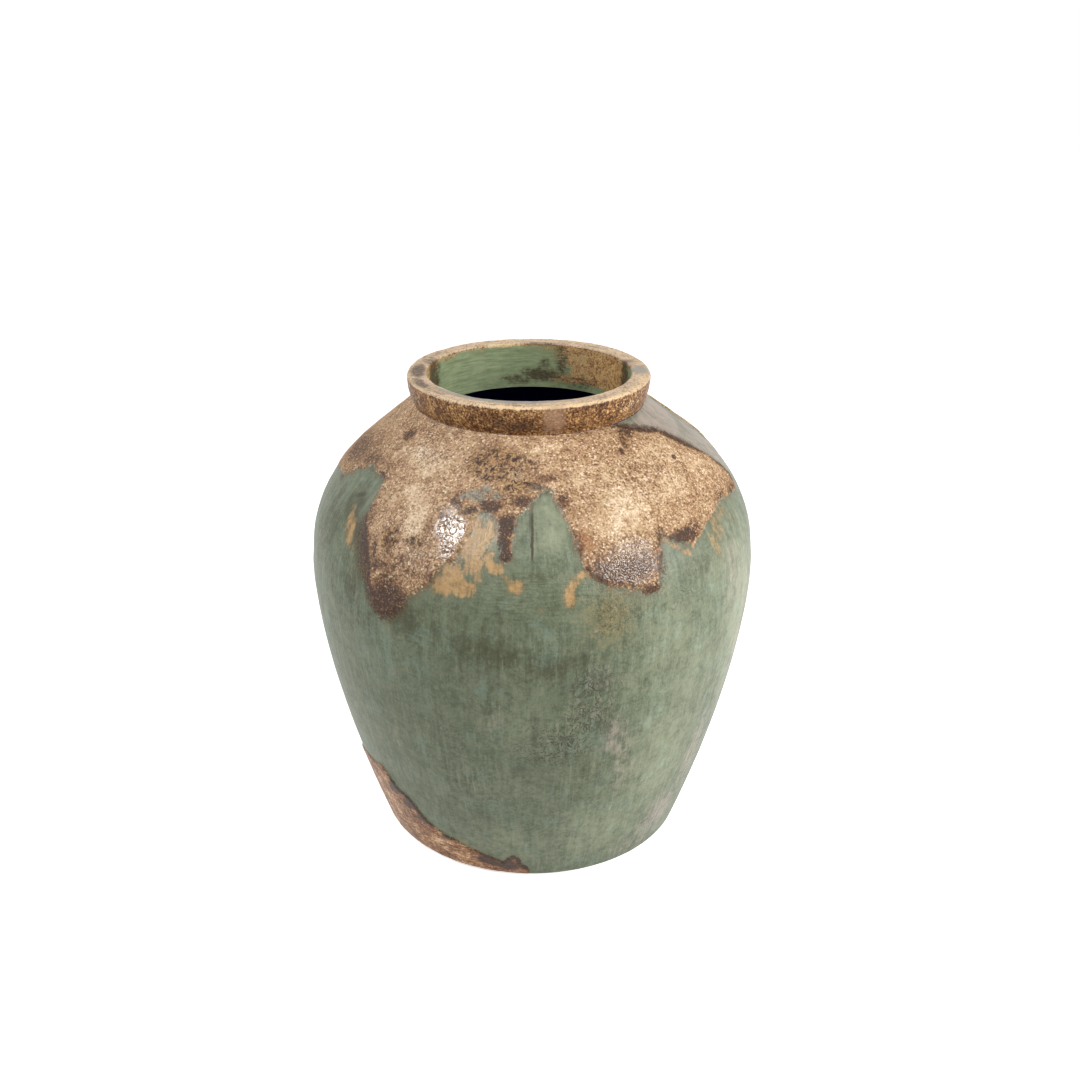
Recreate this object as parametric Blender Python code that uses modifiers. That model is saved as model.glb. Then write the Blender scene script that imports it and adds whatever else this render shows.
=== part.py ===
"""A wide-shouldered clay storage jar, built up from luted sections, with a run crust on it.

Metres, +Z up. The origin is on the ground under the middle of the foot, and -Y is the front.
A bearing is in degrees round the jar from the front, counted towards +X.
"""

import math

import bmesh
import bpy

# Heights, stacked from the ground up
BELLY_HEIGHT = 0.228
SHOULDER_RISE = 0.1385
LIP_HEIGHT = 0.0235

# Radii of the outline and of the mouth
FOOT_RADIUS = 0.1294
BELLY_RADIUS = 0.1806
BORE_RADIUS = 0.080

# Thickness of the clay
WALL_THICKNESS = 0.0115
COLLAR_WALL = 0.011
BASE_THICKNESS = 0.014

# Joints between the sections
LUTE_GAP = 0.0003
REBATE_SHARE = 0.5
SEAM_DROP = 0.006
TONGUE_HEIGHT = 0.0035
TONGUE_WIDTH_SHARE = 0.6
SPIGOT_DEPTH = 0.0165
SPIGOT_WALL_SHARE = 0.54

# Lip band round the mouth
LIP_OVERHANG = 0.005
BAND_STEP = 0.0014
UNDERCUT_HEIGHT = 0.002
LIP_ROUNDING = 0.003
BORE_ROUNDING = 0.0015
SPIGOT_CHAMFER = 0.0012

# Foot
FOOT_BEVEL = 0.0016
CORNER_FILLET = 0.010

# Crust that ran down the shoulder
CRUST_GAP = 0.0003
CRUST_THICKNESS = 0.0012
CRUST_NECK_GAP = 0.002
CRUST_REACH = 0.1205
CRUST_LEVEL_SHARE = 0.31

# Crust patch on the foot
FOOT_CRUST_RISE = 0.084
FOOT_CRUST_LIFT = 0.003
FOOT_CRUST_FADE_SHARE = 0.03

# The wall from foot to belly swells less and less: share of the swell still to come is this power
FLARE_POWER = 1.55

# Share of the shoulder's rise, and share of the way in from the belly's radius to the neck's
SHOULDER_SHARES = (
    (0.0, 0.0),
    (0.10, 0.003),
    (0.32, 0.052),
    (0.52, 0.19),
    (0.69, 0.41),
    (0.83, 0.67),
    (0.92, 0.85),
    (1.0, 1.0),
)

# Lobes of the shoulder crust: bearing, degrees to each side of it, reach share, bluntness
CRUST_LOBE_SHARES = (
    (-78.0, 16.0, 12.0, 0.42, 1.8),
    (-38.5, 14.5, 18.5, 1.00, 1.6),
    (-20.5, 4.5, 4.0, 0.61, 3.0),
    (-6.9, 2.8, 2.8, 0.56, 2.4),
    (26.0, 15.5, 9.5, 0.80, 2.4),
    (43.0, 9.0, 14.0, 0.58, 1.7),
    (64.0, 12.0, 10.0, 0.48, 2.4),
    (76.0, 8.0, 10.0, 0.54, 1.8),
    (112.0, 9.0, 10.0, 0.76, 1.9),
    (131.0, 7.0, 7.0, 0.54, 1.8),
    (151.0, 14.0, 12.0, 0.89, 1.7),
    (187.0, 12.0, 11.0, 0.69, 2.0),
    (217.0, 13.0, 14.0, 0.87, 1.7),
    (253.0, 12.0, 13.0, 0.71, 2.0),
    (270.0, 8.0, 10.0, 0.47, 1.8),
)

# Windows where the crust stops short of its level, in the same terms
CRUST_WINDOW_SHARES = (
    (4.0, 7.5, 7.5, 0.20, 2.0),
    (122.0, 8.0, 6.0, 0.24, 2.0),
    (236.0, 7.0, 8.0, 0.23, 2.0),
)

# Bare side on the right, where the crust starts lower down, as shares of its reach
BARE_SIDE_SHARES = (
    (93.0, 47.0, 9.0, 0.75, 0.4),
    (97.0, 10.0, 14.0, 0.75, 2.2),
)

# Tongues of the foot crust, in the same terms, as shares of its rise
FOOT_LOBE_SHARES = (
    (-54.0, 60.0, 27.0, 1.00, 1.35),
    (-38.0, 8.0, 5.0, 0.68, 2.0),
    (-28.0, 26.0, 27.0, 0.42, 1.7),
    (-6.0, 5.0, 4.0, 0.30, 2.0),
    (-104.0, 20.0, 16.0, 0.52, 1.8),
)

# Fineness of the surfaces
RING_STEPS = 56
LOWER_ROWS = 9
SHOULDER_ROWS = 12
INNER_ROWS = 7
ARC_STEPS = 4
CUTTER_STEPS = 180
MERGE_DISTANCE = 0.00001
SLOPE_STEP_SHARE = 0.02
SHARP_ANGLE = math.radians(38.0)

# Places that follow from the sizes above
NECK_RADIUS = BORE_RADIUS + COLLAR_WALL
NECK_HEIGHT = BELLY_HEIGHT + SHOULDER_RISE
JAR_HEIGHT = NECK_HEIGHT + LIP_HEIGHT
SEAM_HEIGHT = BELLY_HEIGHT - SEAM_DROP
REBATE_HEIGHT = BASE_THICKNESS * REBATE_SHARE
WALL_FOOT = REBATE_HEIGHT + LUTE_GAP
SPIGOT_RADIUS = BORE_RADIUS + COLLAR_WALL * SPIGOT_WALL_SHARE
SHOULDER_BORE = SPIGOT_RADIUS + LUTE_GAP

CUTTER_MARGIN = WALL_THICKNESS
CUTTER_INNER_RADIUS = BORE_RADIUS
CUTTER_OUTER_RADIUS = BELLY_RADIUS + CUTTER_MARGIN

# Colours of the finishes
CLAY_TAN = (0.42, 0.30, 0.19, 1.0)
GLAZE_SAGE = (0.19, 0.23, 0.17, 1.0)
GLAZE_SHOULDER = (0.24, 0.27, 0.19, 1.0)
LIP_UMBER = (0.30, 0.21, 0.12, 1.0)
CRUST_SAND = (0.47, 0.36, 0.23, 1.0)
CRUST_RUST = (0.27, 0.14, 0.08, 1.0)


def empty_scene():
    """Remove every object that the scene holds."""
    for scene_object in list(bpy.data.objects):
        bpy.data.objects.remove(scene_object, do_unlink=True)


def clay_material(name, colour, roughness, metallic=0.0):
    """A plain Principled finish for one sub-part."""
    material = bpy.data.materials.new(name)
    material.use_nodes = True
    shader = material.node_tree.nodes["Principled BSDF"]
    shader.inputs["Base Color"].default_value = colour
    shader.inputs["Roughness"].default_value = roughness
    shader.inputs["Metallic"].default_value = metallic
    material.diffuse_color = colour
    return material


def smooth_between(table, place):
    """Read a table of (place, value) pairs as one smooth curve through them."""
    last = len(table) - 1
    slopes = []
    for index in range(last + 1):
        before = table[max(index - 1, 0)]
        after = table[min(index + 1, last)]
        slopes.append((after[1] - before[1]) / (after[0] - before[0]))
    index = 0
    while index < last - 1 and place > table[index + 1][0]:
        index += 1
    start, end = table[index], table[index + 1]
    span = end[0] - start[0]
    t = (place - start[0]) / span
    return (
        start[1] * (1 + 2 * t) * (1 - t) ** 2
        + end[1] * t * t * (3 - 2 * t)
        + slopes[index] * span * t * (1 - t) ** 2
        - slopes[index + 1] * span * t * t * (1 - t)
    )


def wall_radius(height):
    """Outside radius of the clay wall at a height, from the ground to the neck."""
    if height <= BELLY_HEIGHT:
        to_come = (1 - height / BELLY_HEIGHT) ** FLARE_POWER
        return BELLY_RADIUS - (BELLY_RADIUS - FOOT_RADIUS) * to_come
    rise_share = min((height - BELLY_HEIGHT) / SHOULDER_RISE, 1.0)
    return BELLY_RADIUS - (BELLY_RADIUS - NECK_RADIUS) * smooth_between(SHOULDER_SHARES, rise_share)


def wall_slope(height):
    """How much the outside radius grows with height."""
    step = WALL_THICKNESS * SLOPE_STEP_SHARE
    low = max(height - step, 0.0)
    high = min(height + step, NECK_HEIGHT)
    return (wall_radius(high) - wall_radius(low)) / (high - low)


def inner_radius(height):
    """Inside radius of the wall, which is equally thick measured square to it."""
    return wall_radius(height) - WALL_THICKNESS * math.hypot(1.0, wall_slope(height))


def rows_between(start, end, count):
    """Evenly spaced heights from start to end, both included."""
    return [start + (end - start) * row / count for row in range(count + 1)]


SHOULDER_HEIGHTS = rows_between(NECK_HEIGHT - LUTE_GAP, SEAM_HEIGHT + LUTE_GAP, SHOULDER_ROWS)
LOWER_HEIGHTS = rows_between(SEAM_HEIGHT, WALL_FOOT, LOWER_ROWS)


def corner_arc(centre, rounding, start_degrees, end_degrees):
    """Points round a corner; the angle counts from outwards towards up."""
    points = []
    for step in range(ARC_STEPS + 1):
        angle = math.radians(start_degrees + (end_degrees - start_degrees) * step / ARC_STEPS)
        points.append((centre[0] + rounding * math.cos(angle), centre[1] + rounding * math.sin(angle)))
    return points


def turned(name, outline, is_ring):
    """Turn an outline of (radius, height) points round the jar's axis."""
    profile = bpy.data.meshes.new(name + "_outline")
    points = [(radius, 0.0, height) for radius, height in outline]
    edges = [(index, index + 1) for index in range(len(points) - 1)]
    if is_ring:
        edges.append((len(points) - 1, 0))
    profile.from_pydata(points, edges, [])
    piece = bpy.data.objects.new(name, profile)
    bpy.context.scene.collection.objects.link(piece)
    screw = piece.modifiers.new("turning", "SCREW")
    screw.axis = "Z"
    screw.angle = math.tau
    screw.steps = RING_STEPS
    screw.render_steps = RING_STEPS
    screw.use_merge_vertices = True
    screw.merge_threshold = MERGE_DISTANCE
    bpy.context.view_layer.update()
    evaluated = piece.evaluated_get(bpy.context.evaluated_depsgraph_get())
    turned_mesh = bpy.data.meshes.new_from_object(evaluated)
    turned_mesh.name = name
    piece.modifiers.clear()
    piece.data = turned_mesh
    bpy.data.meshes.remove(profile)
    turned_mesh.shade_smooth()
    turned_mesh.set_sharp_from_angle(angle=SHARP_ANGLE)
    return piece


def tongue_outline(outer, inner, height):
    """The V of the seam joint, from the outside of the wall to the inside, pointing down."""
    middle = (outer + inner) / 2
    half_width = (outer - inner) * TONGUE_WIDTH_SHARE / 2
    return [
        (outer, height),
        (middle + half_width, height),
        (middle, height - TONGUE_HEIGHT),
        (middle - half_width, height),
        (inner, height),
    ]


def make_base_slab():
    """The slab that the jar was started on, with a rebate that the wall stands in."""
    disc_radius = inner_radius(WALL_FOOT) - LUTE_GAP
    rim_radius = wall_radius(REBATE_HEIGHT)
    outline = [
        (0.0, BASE_THICKNESS),
        (disc_radius, BASE_THICKNESS),
        (disc_radius, REBATE_HEIGHT),
        (rim_radius, REBATE_HEIGHT),
        (wall_radius(FOOT_BEVEL), FOOT_BEVEL),
        (FOOT_RADIUS - FOOT_BEVEL, 0.0),
        (0.0, 0.0),
    ]
    return turned("base_slab", outline, is_ring=False)


def make_lower_wall():
    """The wall from the slab to the belly seam, with the seam's groove in its top edge."""
    outside = [(wall_radius(height), height) for height in LOWER_HEIGHTS]
    groove = tongue_outline(wall_radius(SEAM_HEIGHT), inner_radius(SEAM_HEIGHT), SEAM_HEIGHT)
    slab_bore = inner_radius(WALL_FOOT)
    inside = [(slab_bore, WALL_FOOT), (slab_bore, BASE_THICKNESS)]
    above_fillet = BASE_THICKNESS + CORNER_FILLET
    inside += [(inner_radius(height), height) for height in rows_between(above_fillet, SEAM_HEIGHT, INNER_ROWS)]
    groove_back = list(reversed(groove[1:-1]))
    return turned("lower_wall", outside + inside + groove_back, is_ring=True)


def make_shoulder_wall():
    """The wall from the belly seam to the neck, with the seam's tongue under it."""
    seam_top = SEAM_HEIGHT + LUTE_GAP
    seat_height = NECK_HEIGHT - LUTE_GAP
    outside = [(wall_radius(height), height) for height in SHOULDER_HEIGHTS]
    tongue = tongue_outline(wall_radius(seam_top), inner_radius(seam_top), seam_top)
    inside = []
    for height in rows_between(seam_top, seat_height, SHOULDER_ROWS)[1:]:
        radius = inner_radius(height)
        if radius <= SHOULDER_BORE:
            break
        inside.append((radius, height))
    bore_start = inside[-1][1] + inside[-1][0] - SHOULDER_BORE
    inside.append((SHOULDER_BORE, min(bore_start, seat_height - LUTE_GAP)))
    inside.append((SHOULDER_BORE, seat_height))
    return turned("shoulder_wall", outside + tongue[1:] + inside, is_ring=True)


def make_neck_collar():
    """The mouth: a lip band on a flange, and a spigot that hangs in the shoulder's bore."""
    lip_radius = NECK_RADIUS + LIP_OVERHANG
    band_foot = NECK_HEIGHT + UNDERCUT_HEIGHT
    spigot_foot = NECK_HEIGHT - SPIGOT_DEPTH
    outer_corner = (lip_radius - LIP_ROUNDING, JAR_HEIGHT - LIP_ROUNDING)
    inner_corner = (BORE_RADIUS + BORE_ROUNDING, JAR_HEIGHT - BORE_ROUNDING)
    outline = corner_arc(inner_corner, BORE_ROUNDING, 180.0, 90.0)
    outline += corner_arc(outer_corner, LIP_ROUNDING, 90.0, 0.0)
    outline += [
        (NECK_RADIUS + BAND_STEP, band_foot + BAND_STEP),
        (NECK_RADIUS, band_foot),
        (NECK_RADIUS, NECK_HEIGHT),
        (SPIGOT_RADIUS, NECK_HEIGHT),
        (SPIGOT_RADIUS, spigot_foot + SPIGOT_CHAMFER),
        (SPIGOT_RADIUS - SPIGOT_CHAMFER, spigot_foot),
        (BORE_RADIUS, spigot_foot),
    ]
    return turned("neck_collar", outline, is_ring=True)


def lobe_strength(bearing, lobe):
    """How far along a lobe's reach its edge is at a bearing, from 0 beside it to 1 at its tip."""
    centre, left, right, _, bluntness = lobe
    offset = (bearing - centre + 180.0) % 360.0 - 180.0
    side = left if offset < 0 else right
    return max(1.0 - (abs(offset) / side) ** bluntness, 0.0)


def crust_edge(bearing):
    """Height down to which the shoulder crust ran at a bearing."""
    level = CRUST_LEVEL_SHARE
    run_share = max((lobe[3] - level) * lobe_strength(bearing, lobe) for lobe in CRUST_LOBE_SHARES)
    if run_share == 0.0:
        run_share = -max((level - gap[3]) * lobe_strength(bearing, gap) for gap in CRUST_WINDOW_SHARES)
    return NECK_HEIGHT - CRUST_REACH * (level + run_share)


def bare_side_edge(bearing):
    """Height above which the right side is bare at a bearing, over the crust's top elsewhere."""
    drop_share = max(lobe[3] * lobe_strength(bearing, lobe) for lobe in BARE_SIDE_SHARES)
    return NECK_HEIGHT + CRUST_THICKNESS - CRUST_REACH * drop_share


def foot_crust_edge(bearing):
    """Height up to which the foot crust climbs at a bearing, below its foot where there is none."""
    rise_share = max(lobe[3] * lobe_strength(bearing, lobe) for lobe in FOOT_LOBE_SHARES)
    return FOOT_CRUST_LIFT + FOOT_CRUST_RISE * (rise_share - FOOT_CRUST_FADE_SHARE)


def point_off_wall(height, lift):
    """The (radius, height) of a point lifted off the outside of the wall, square to it."""
    slope = wall_slope(height)
    tilt = math.hypot(1.0, slope)
    return (wall_radius(height) + lift / tilt, height - lift * slope / tilt)


def make_crust_band(name, upper, lower):
    """A skin all round the wall between two heights, with its rows at the wall's own rows."""
    between = [height for height in SHOULDER_HEIGHTS + LOWER_HEIGHTS if lower < height < upper]
    heights = [upper] + between + [lower]
    outside = [point_off_wall(height, CRUST_GAP + CRUST_THICKNESS) for height in heights]
    inside = [point_off_wall(height, CRUST_GAP) for height in reversed(heights)]
    return turned(name, outside + inside, is_ring=True)


def make_edge_cutter(name, edge, far_height):
    """A ring of material between a ragged edge, given as a height at each bearing, and a far height."""
    ring = bmesh.new()
    sections = []
    for step in range(CUTTER_STEPS):
        bearing = 360.0 * step / CUTTER_STEPS
        sine = math.sin(math.radians(bearing))
        cosine = math.cos(math.radians(bearing))
        corners = (
            (CUTTER_INNER_RADIUS, edge(bearing)),
            (CUTTER_OUTER_RADIUS, edge(bearing)),
            (CUTTER_OUTER_RADIUS, far_height),
            (CUTTER_INNER_RADIUS, far_height),
        )
        sections.append([ring.verts.new((r * sine, -r * cosine, height)) for r, height in corners])
    for here, there in zip(sections, sections[1:] + sections[:1]):
        for corner in range(len(here)):
            following = (corner + 1) % len(here)
            ring.faces.new((here[corner], here[following], there[following], there[corner]))
    bmesh.ops.recalc_face_normals(ring, faces=ring.faces)
    mesh = bpy.data.meshes.new(name)
    ring.to_mesh(mesh)
    ring.free()
    cutter = bpy.data.objects.new(name, mesh)
    cutter.hide_render = True
    cutter.display_type = "WIRE"
    return cutter


def trim(piece, cutter, cutters):
    """Cut a piece by a cutter, which is kept with the other cutters."""
    cutters.objects.link(cutter)
    cut = piece.modifiers.new("ragged_edge", "BOOLEAN")
    cut.operation = "DIFFERENCE"
    cut.object = cutter
    return piece


def make_shoulder_crust(cutters):
    """The crust that was thrown on the shoulder and ran down it in lobes and a drip."""
    lowest = NECK_HEIGHT - CRUST_REACH
    band = make_crust_band("shoulder_crust", NECK_HEIGHT - CRUST_NECK_GAP, lowest - CRUST_THICKNESS)
    lower_cutter = make_edge_cutter("shoulder_crust_edge", crust_edge, lowest - CUTTER_MARGIN)
    trim(band, lower_cutter, cutters)
    upper_cutter = make_edge_cutter("shoulder_bare_side", bare_side_edge, NECK_HEIGHT + CUTTER_MARGIN)
    return trim(band, upper_cutter, cutters)


def make_foot_crust(cutters):
    """The patch of crust that climbs from the foot on the left."""
    highest = FOOT_CRUST_LIFT + FOOT_CRUST_RISE
    band = make_crust_band("foot_crust", highest, FOOT_CRUST_LIFT)
    cutter = make_edge_cutter("foot_crust_edge", foot_crust_edge, highest + CUTTER_MARGIN)
    return trim(band, cutter, cutters)


def finish(piece, collection, material):
    """Move a piece into the jar's collection and give it its finish."""
    bpy.context.scene.collection.objects.unlink(piece)
    collection.objects.link(piece)
    piece.data.materials.append(material)


def build_jar():
    """Make every piece of the jar."""
    empty_scene()
    jar = bpy.data.collections.new("storage_jar")
    cutters = bpy.data.collections.new("cutters")
    for collection in (jar, cutters):
        bpy.context.scene.collection.children.link(collection)
    finish(make_base_slab(), jar, clay_material("bare_clay", CLAY_TAN, 0.85))
    finish(make_lower_wall(), jar, clay_material("sage_glaze", GLAZE_SAGE, 0.30))
    finish(make_shoulder_wall(), jar, clay_material("shoulder_glaze", GLAZE_SHOULDER, 0.32))
    finish(make_neck_collar(), jar, clay_material("lip_glaze", LIP_UMBER, 0.45))
    finish(make_shoulder_crust(cutters), jar, clay_material("sand_crust", CRUST_SAND, 0.55))
    finish(make_foot_crust(cutters), jar, clay_material("rust_crust", CRUST_RUST, 0.60))


build_jar()
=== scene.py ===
"""Looks of the clay storage jar: its glaze, its run crust, the light and the camera.

Sizes are in millimetres up to the point where a mesh is made, which is in metres, +Z up.
A bearing is in degrees round the jar from the front (-Y), counted towards +X.
"""

import itertools
import math

import bpy
import numpy as np
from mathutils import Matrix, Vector


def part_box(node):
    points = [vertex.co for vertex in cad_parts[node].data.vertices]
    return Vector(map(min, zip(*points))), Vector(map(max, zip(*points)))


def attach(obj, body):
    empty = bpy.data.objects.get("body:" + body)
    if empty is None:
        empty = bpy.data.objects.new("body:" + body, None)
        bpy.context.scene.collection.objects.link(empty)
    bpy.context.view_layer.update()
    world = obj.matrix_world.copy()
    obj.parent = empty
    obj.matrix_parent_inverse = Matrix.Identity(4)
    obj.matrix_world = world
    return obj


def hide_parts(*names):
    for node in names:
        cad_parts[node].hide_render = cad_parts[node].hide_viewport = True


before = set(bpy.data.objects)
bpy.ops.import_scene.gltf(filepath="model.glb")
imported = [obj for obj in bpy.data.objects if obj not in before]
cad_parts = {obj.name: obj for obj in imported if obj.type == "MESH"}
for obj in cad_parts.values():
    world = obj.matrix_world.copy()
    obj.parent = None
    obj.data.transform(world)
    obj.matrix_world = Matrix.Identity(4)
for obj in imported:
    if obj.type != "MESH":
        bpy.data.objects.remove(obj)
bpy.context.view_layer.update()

MM = 0.001

# Sizes that the frame gives
JAR_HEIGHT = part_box("neck_collar")[1].z / MM
LIP_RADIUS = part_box("neck_collar")[1].x / MM
SPIGOT_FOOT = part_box("neck_collar")[0].z / MM
SLAB_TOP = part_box("base_slab")[1].z / MM
BELLY_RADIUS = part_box("shoulder_wall")[1].x / MM
SEAM_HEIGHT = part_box("lower_wall")[1].z / MM

# Sizes of the outline, as in the part's source
BELLY_HEIGHT = 228.0
SHOULDER_RISE = 138.5
NECK_HEIGHT = BELLY_HEIGHT + SHOULDER_RISE
FOOT_RADIUS = 129.4
BORE_RADIUS = 80.0
NECK_RADIUS = 91.0
SPIGOT_RADIUS = 85.94
JOINT_GAP = 0.3
HUB_RADIUS = 1.0
WALL_THICKNESS = 11.5
REBATE_HEIGHT = 7.15
FOOT_BEVEL = 1.6
FLARE_POWER = 1.55
SHOULDER_SHARES = (
    (0.0, 0.0),
    (0.10, 0.003),
    (0.32, 0.052),
    (0.52, 0.19),
    (0.69, 0.41),
    (0.83, 0.67),
    (0.92, 0.85),
    (1.0, 1.0),
)

# Fineness of the surfaces and of the sums over them
COLUMNS = 576
CRUST_COLUMNS = 696
ROW_STEP = 2.0
CRUST_ROW_STEP = 1.35
LIP_ROW_STEP = 1.0
PLAIN_ROW_STEP = 4.0
SEAT_ROW_STEP = 2.0
LOWER_INNER_STEP = 6.0
UPPER_INNER_STEP = 4.0
LIP_CORNER_POINTS = 7
BORE_CORNER_POINTS = 5
OUTLINE_SAMPLES = 4000
SLOPE_REACH = 0.25
EDGE_SAMPLES = 1800
NEAREST_CHUNK = 2000
MENDING_ROUNDS = 4

# Surface of the clay, which lies a little inside the solid so that its relief has room
CLAY_DEPTH = 0.12
HAND_WAVE = 0.16
HAND_WAVE_SIZE = 55.0
CLAY_LUMP = 0.07
CLAY_LUMP_SIZE = 13.0
BRUSH_RIDGE = 0.05
BRUSH_RIDGE_SIZE = 5.0
BRUSH_DRAWN_OUT = 0.07
WAVE_SINK = 0.5
WRINKLE_SINK = 0.4
WRINKLE_DEPTH = 0.30
WRINKLE_SIZE = 5.0
CHIP_DEPTH = 0.30
CHIP_RAGGED = 0.25
CHIP_RAGGED_SIZE = 5.0
CHIP_FADE = (0.42, 0.6)

# The mouth leans a little to the left and back
LEAN_START = 325.0
LEAN_END = 372.0
LEAN_LEFT = 2.6
BACK_DROP = 0.5

# Crust
CRUST_TOP = 1.05
CRUST_LUMP = 0.34
CRUST_LUMP_SIZE = 8.0
FOLD_RISE = 0.85
DROP_WRINKLE = 0.60
DROP_WRINKLE_SIZE = 9.0
DROP_FADE = (0.25, 0.8)
BURNT_LUMP = 0.35
BURNT_LUMP_SIZE = 5.0
CRUST_EDGE_START = 0.8
CRUST_EDGE_WIDTH = 4.2
RIDGE_HEIGHT = 0.25
RIDGE_PLACE = 3.5
RIDGE_WIDTH = 2.5
NECK_THINNING = 0.75
THINNING_REACH = 7.0
CRUST_TUCK = 0.35
CRUST_BURIED = 0.8
CRUST_MARGIN = 2.2
CRUST_EDGE_RAGGED = 2.6
CRUST_EDGE_RAGGED_SIZE = 7.0
FOOT_RAGGED_SHARE = 0.8
FOOT_CRUST_START = 1.4
EDGE_ROOM = 8.0
FIELD_REACH = 24.0

# Collar: steps out from the neck and up under the lip band, corners and lumps
UNDERCUT = ((0.0, 0.0), (0.0, 1.6), (0.35, 2.4), (1.5, 3.5), (2.6, 6.5), (4.2, 13.0))
LIP_CORNER = 3.2
BORE_CORNER = 1.8
LIP_WAVE = 0.55
LIP_WAVE_SIZE = 26.0
LIP_LUMP = 0.22
LIP_LUMP_SIZE = 6.0
LIP_DEPTH = 0.45

# Lengths along the collar's section over which its worn top and its inside set in
LIP_TOP_FADE = (20.0, 24.0)
INSIDE_FADE = (39.0, 41.0)

# Lower edge of the shoulder crust: bearing and height, all the way round
CRUST_EDGE = (
    (-88, 310), (-82, 314), (-76, 315), (-72, 320), (-68.5, 327), (-63, 331), (-56, 330.5), (-52, 328),
    (-51, 316), (-50, 303), (-47, 289), (-44, 273), (-42, 261), (-40, 249.5), (-38, 247), (-35.5, 248),
    (-33, 254), (-30, 266.5), (-25.5, 276), (-24, 282.5), (-23, 293), (-21, 294.5), (-19.2, 296.5),
    (-17.6, 304), (-17, 314), (-16.4, 325), (-13, 326.5), (-10.4, 322.5), (-8.9, 316), (-8.5, 311),
    (-7.69, 307.4), (-7.65, 302.75), (-7.1, 300), (-6.2, 299), (-5.33, 301.9), (-5.31, 317.5),
    (-4.5, 322), (-3.2, 326), (-0.9, 331.5), (2.5, 336.5), (5.4, 338.5), (7, 334),
    (8.7, 328), (9.8, 320), (11.2, 311), (12.2, 299), (14.2, 288), (17, 283), (20.4, 279.5), (24, 276),
    (27.7, 271), (30.8, 273.5), (32.6, 286), (33.8, 299), (36, 304.5), (39, 300.5), (42, 295.5),
    (44.6, 294), (48.8, 298), (56.9, 303.5), (63, 306.5), (69, 306), (75, 303), (80, 300), (84, 306),
    (90, 316), (96, 322), (101, 318), (106, 296), (112, 280), (118, 294), (122, 332), (126, 322),
    (131, 304), (136, 324), (141, 300), (147, 272), (151, 262), (156, 272), (162, 318), (170, 329),
    (177, 318), (184, 292), (188, 287), (193, 298), (199, 326), (206, 306), (212, 280), (217, 264),
    (223, 272), (229, 300), (234, 334), (241, 318), (247, 296), (253, 284), (259, 296), (264, 318),
    (268, 312), (272, 310),
)

# Border above which the right side of the shoulder is bare: bearing and height
BARE_EDGE = (
    (44, 372), (47, 365), (54, 361.5), (60, 358), (66, 355), (70, 351), (75, 340), (79, 330), (83, 315),
    (87, 300), (104, 300), (105, 330), (107, 350), (110, 366), (112, 372),
)

# Upper edge of the foot crust: bearing and height
FOOT_EDGE = (
    (-124, -8), (-119, 14), (-112, 34), (-104, 42), (-96, 36), (-90, 44), (-82, 58), (-74, 70), (-66, 78),
    (-60, 79), (-55, 81), (-52.5, 85), (-50, 79), (-47, 70), (-43, 66), (-40, 61), (-38, 50), (-36, 43),
    (-32, 38), (-28, 34), (-25, 30.5), (-22, 27), (-18, 25), (-15, 23), (-12, 20), (-10, 17), (-8, 22),
    (-6, 27), (-4, 20), (-2, 10), (0, -1), (3, -8),
)

# How a soft patch falls off from its middle
PATCH_FALL = 0.7
PATCH_FALL_POWER = 2.6

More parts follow.
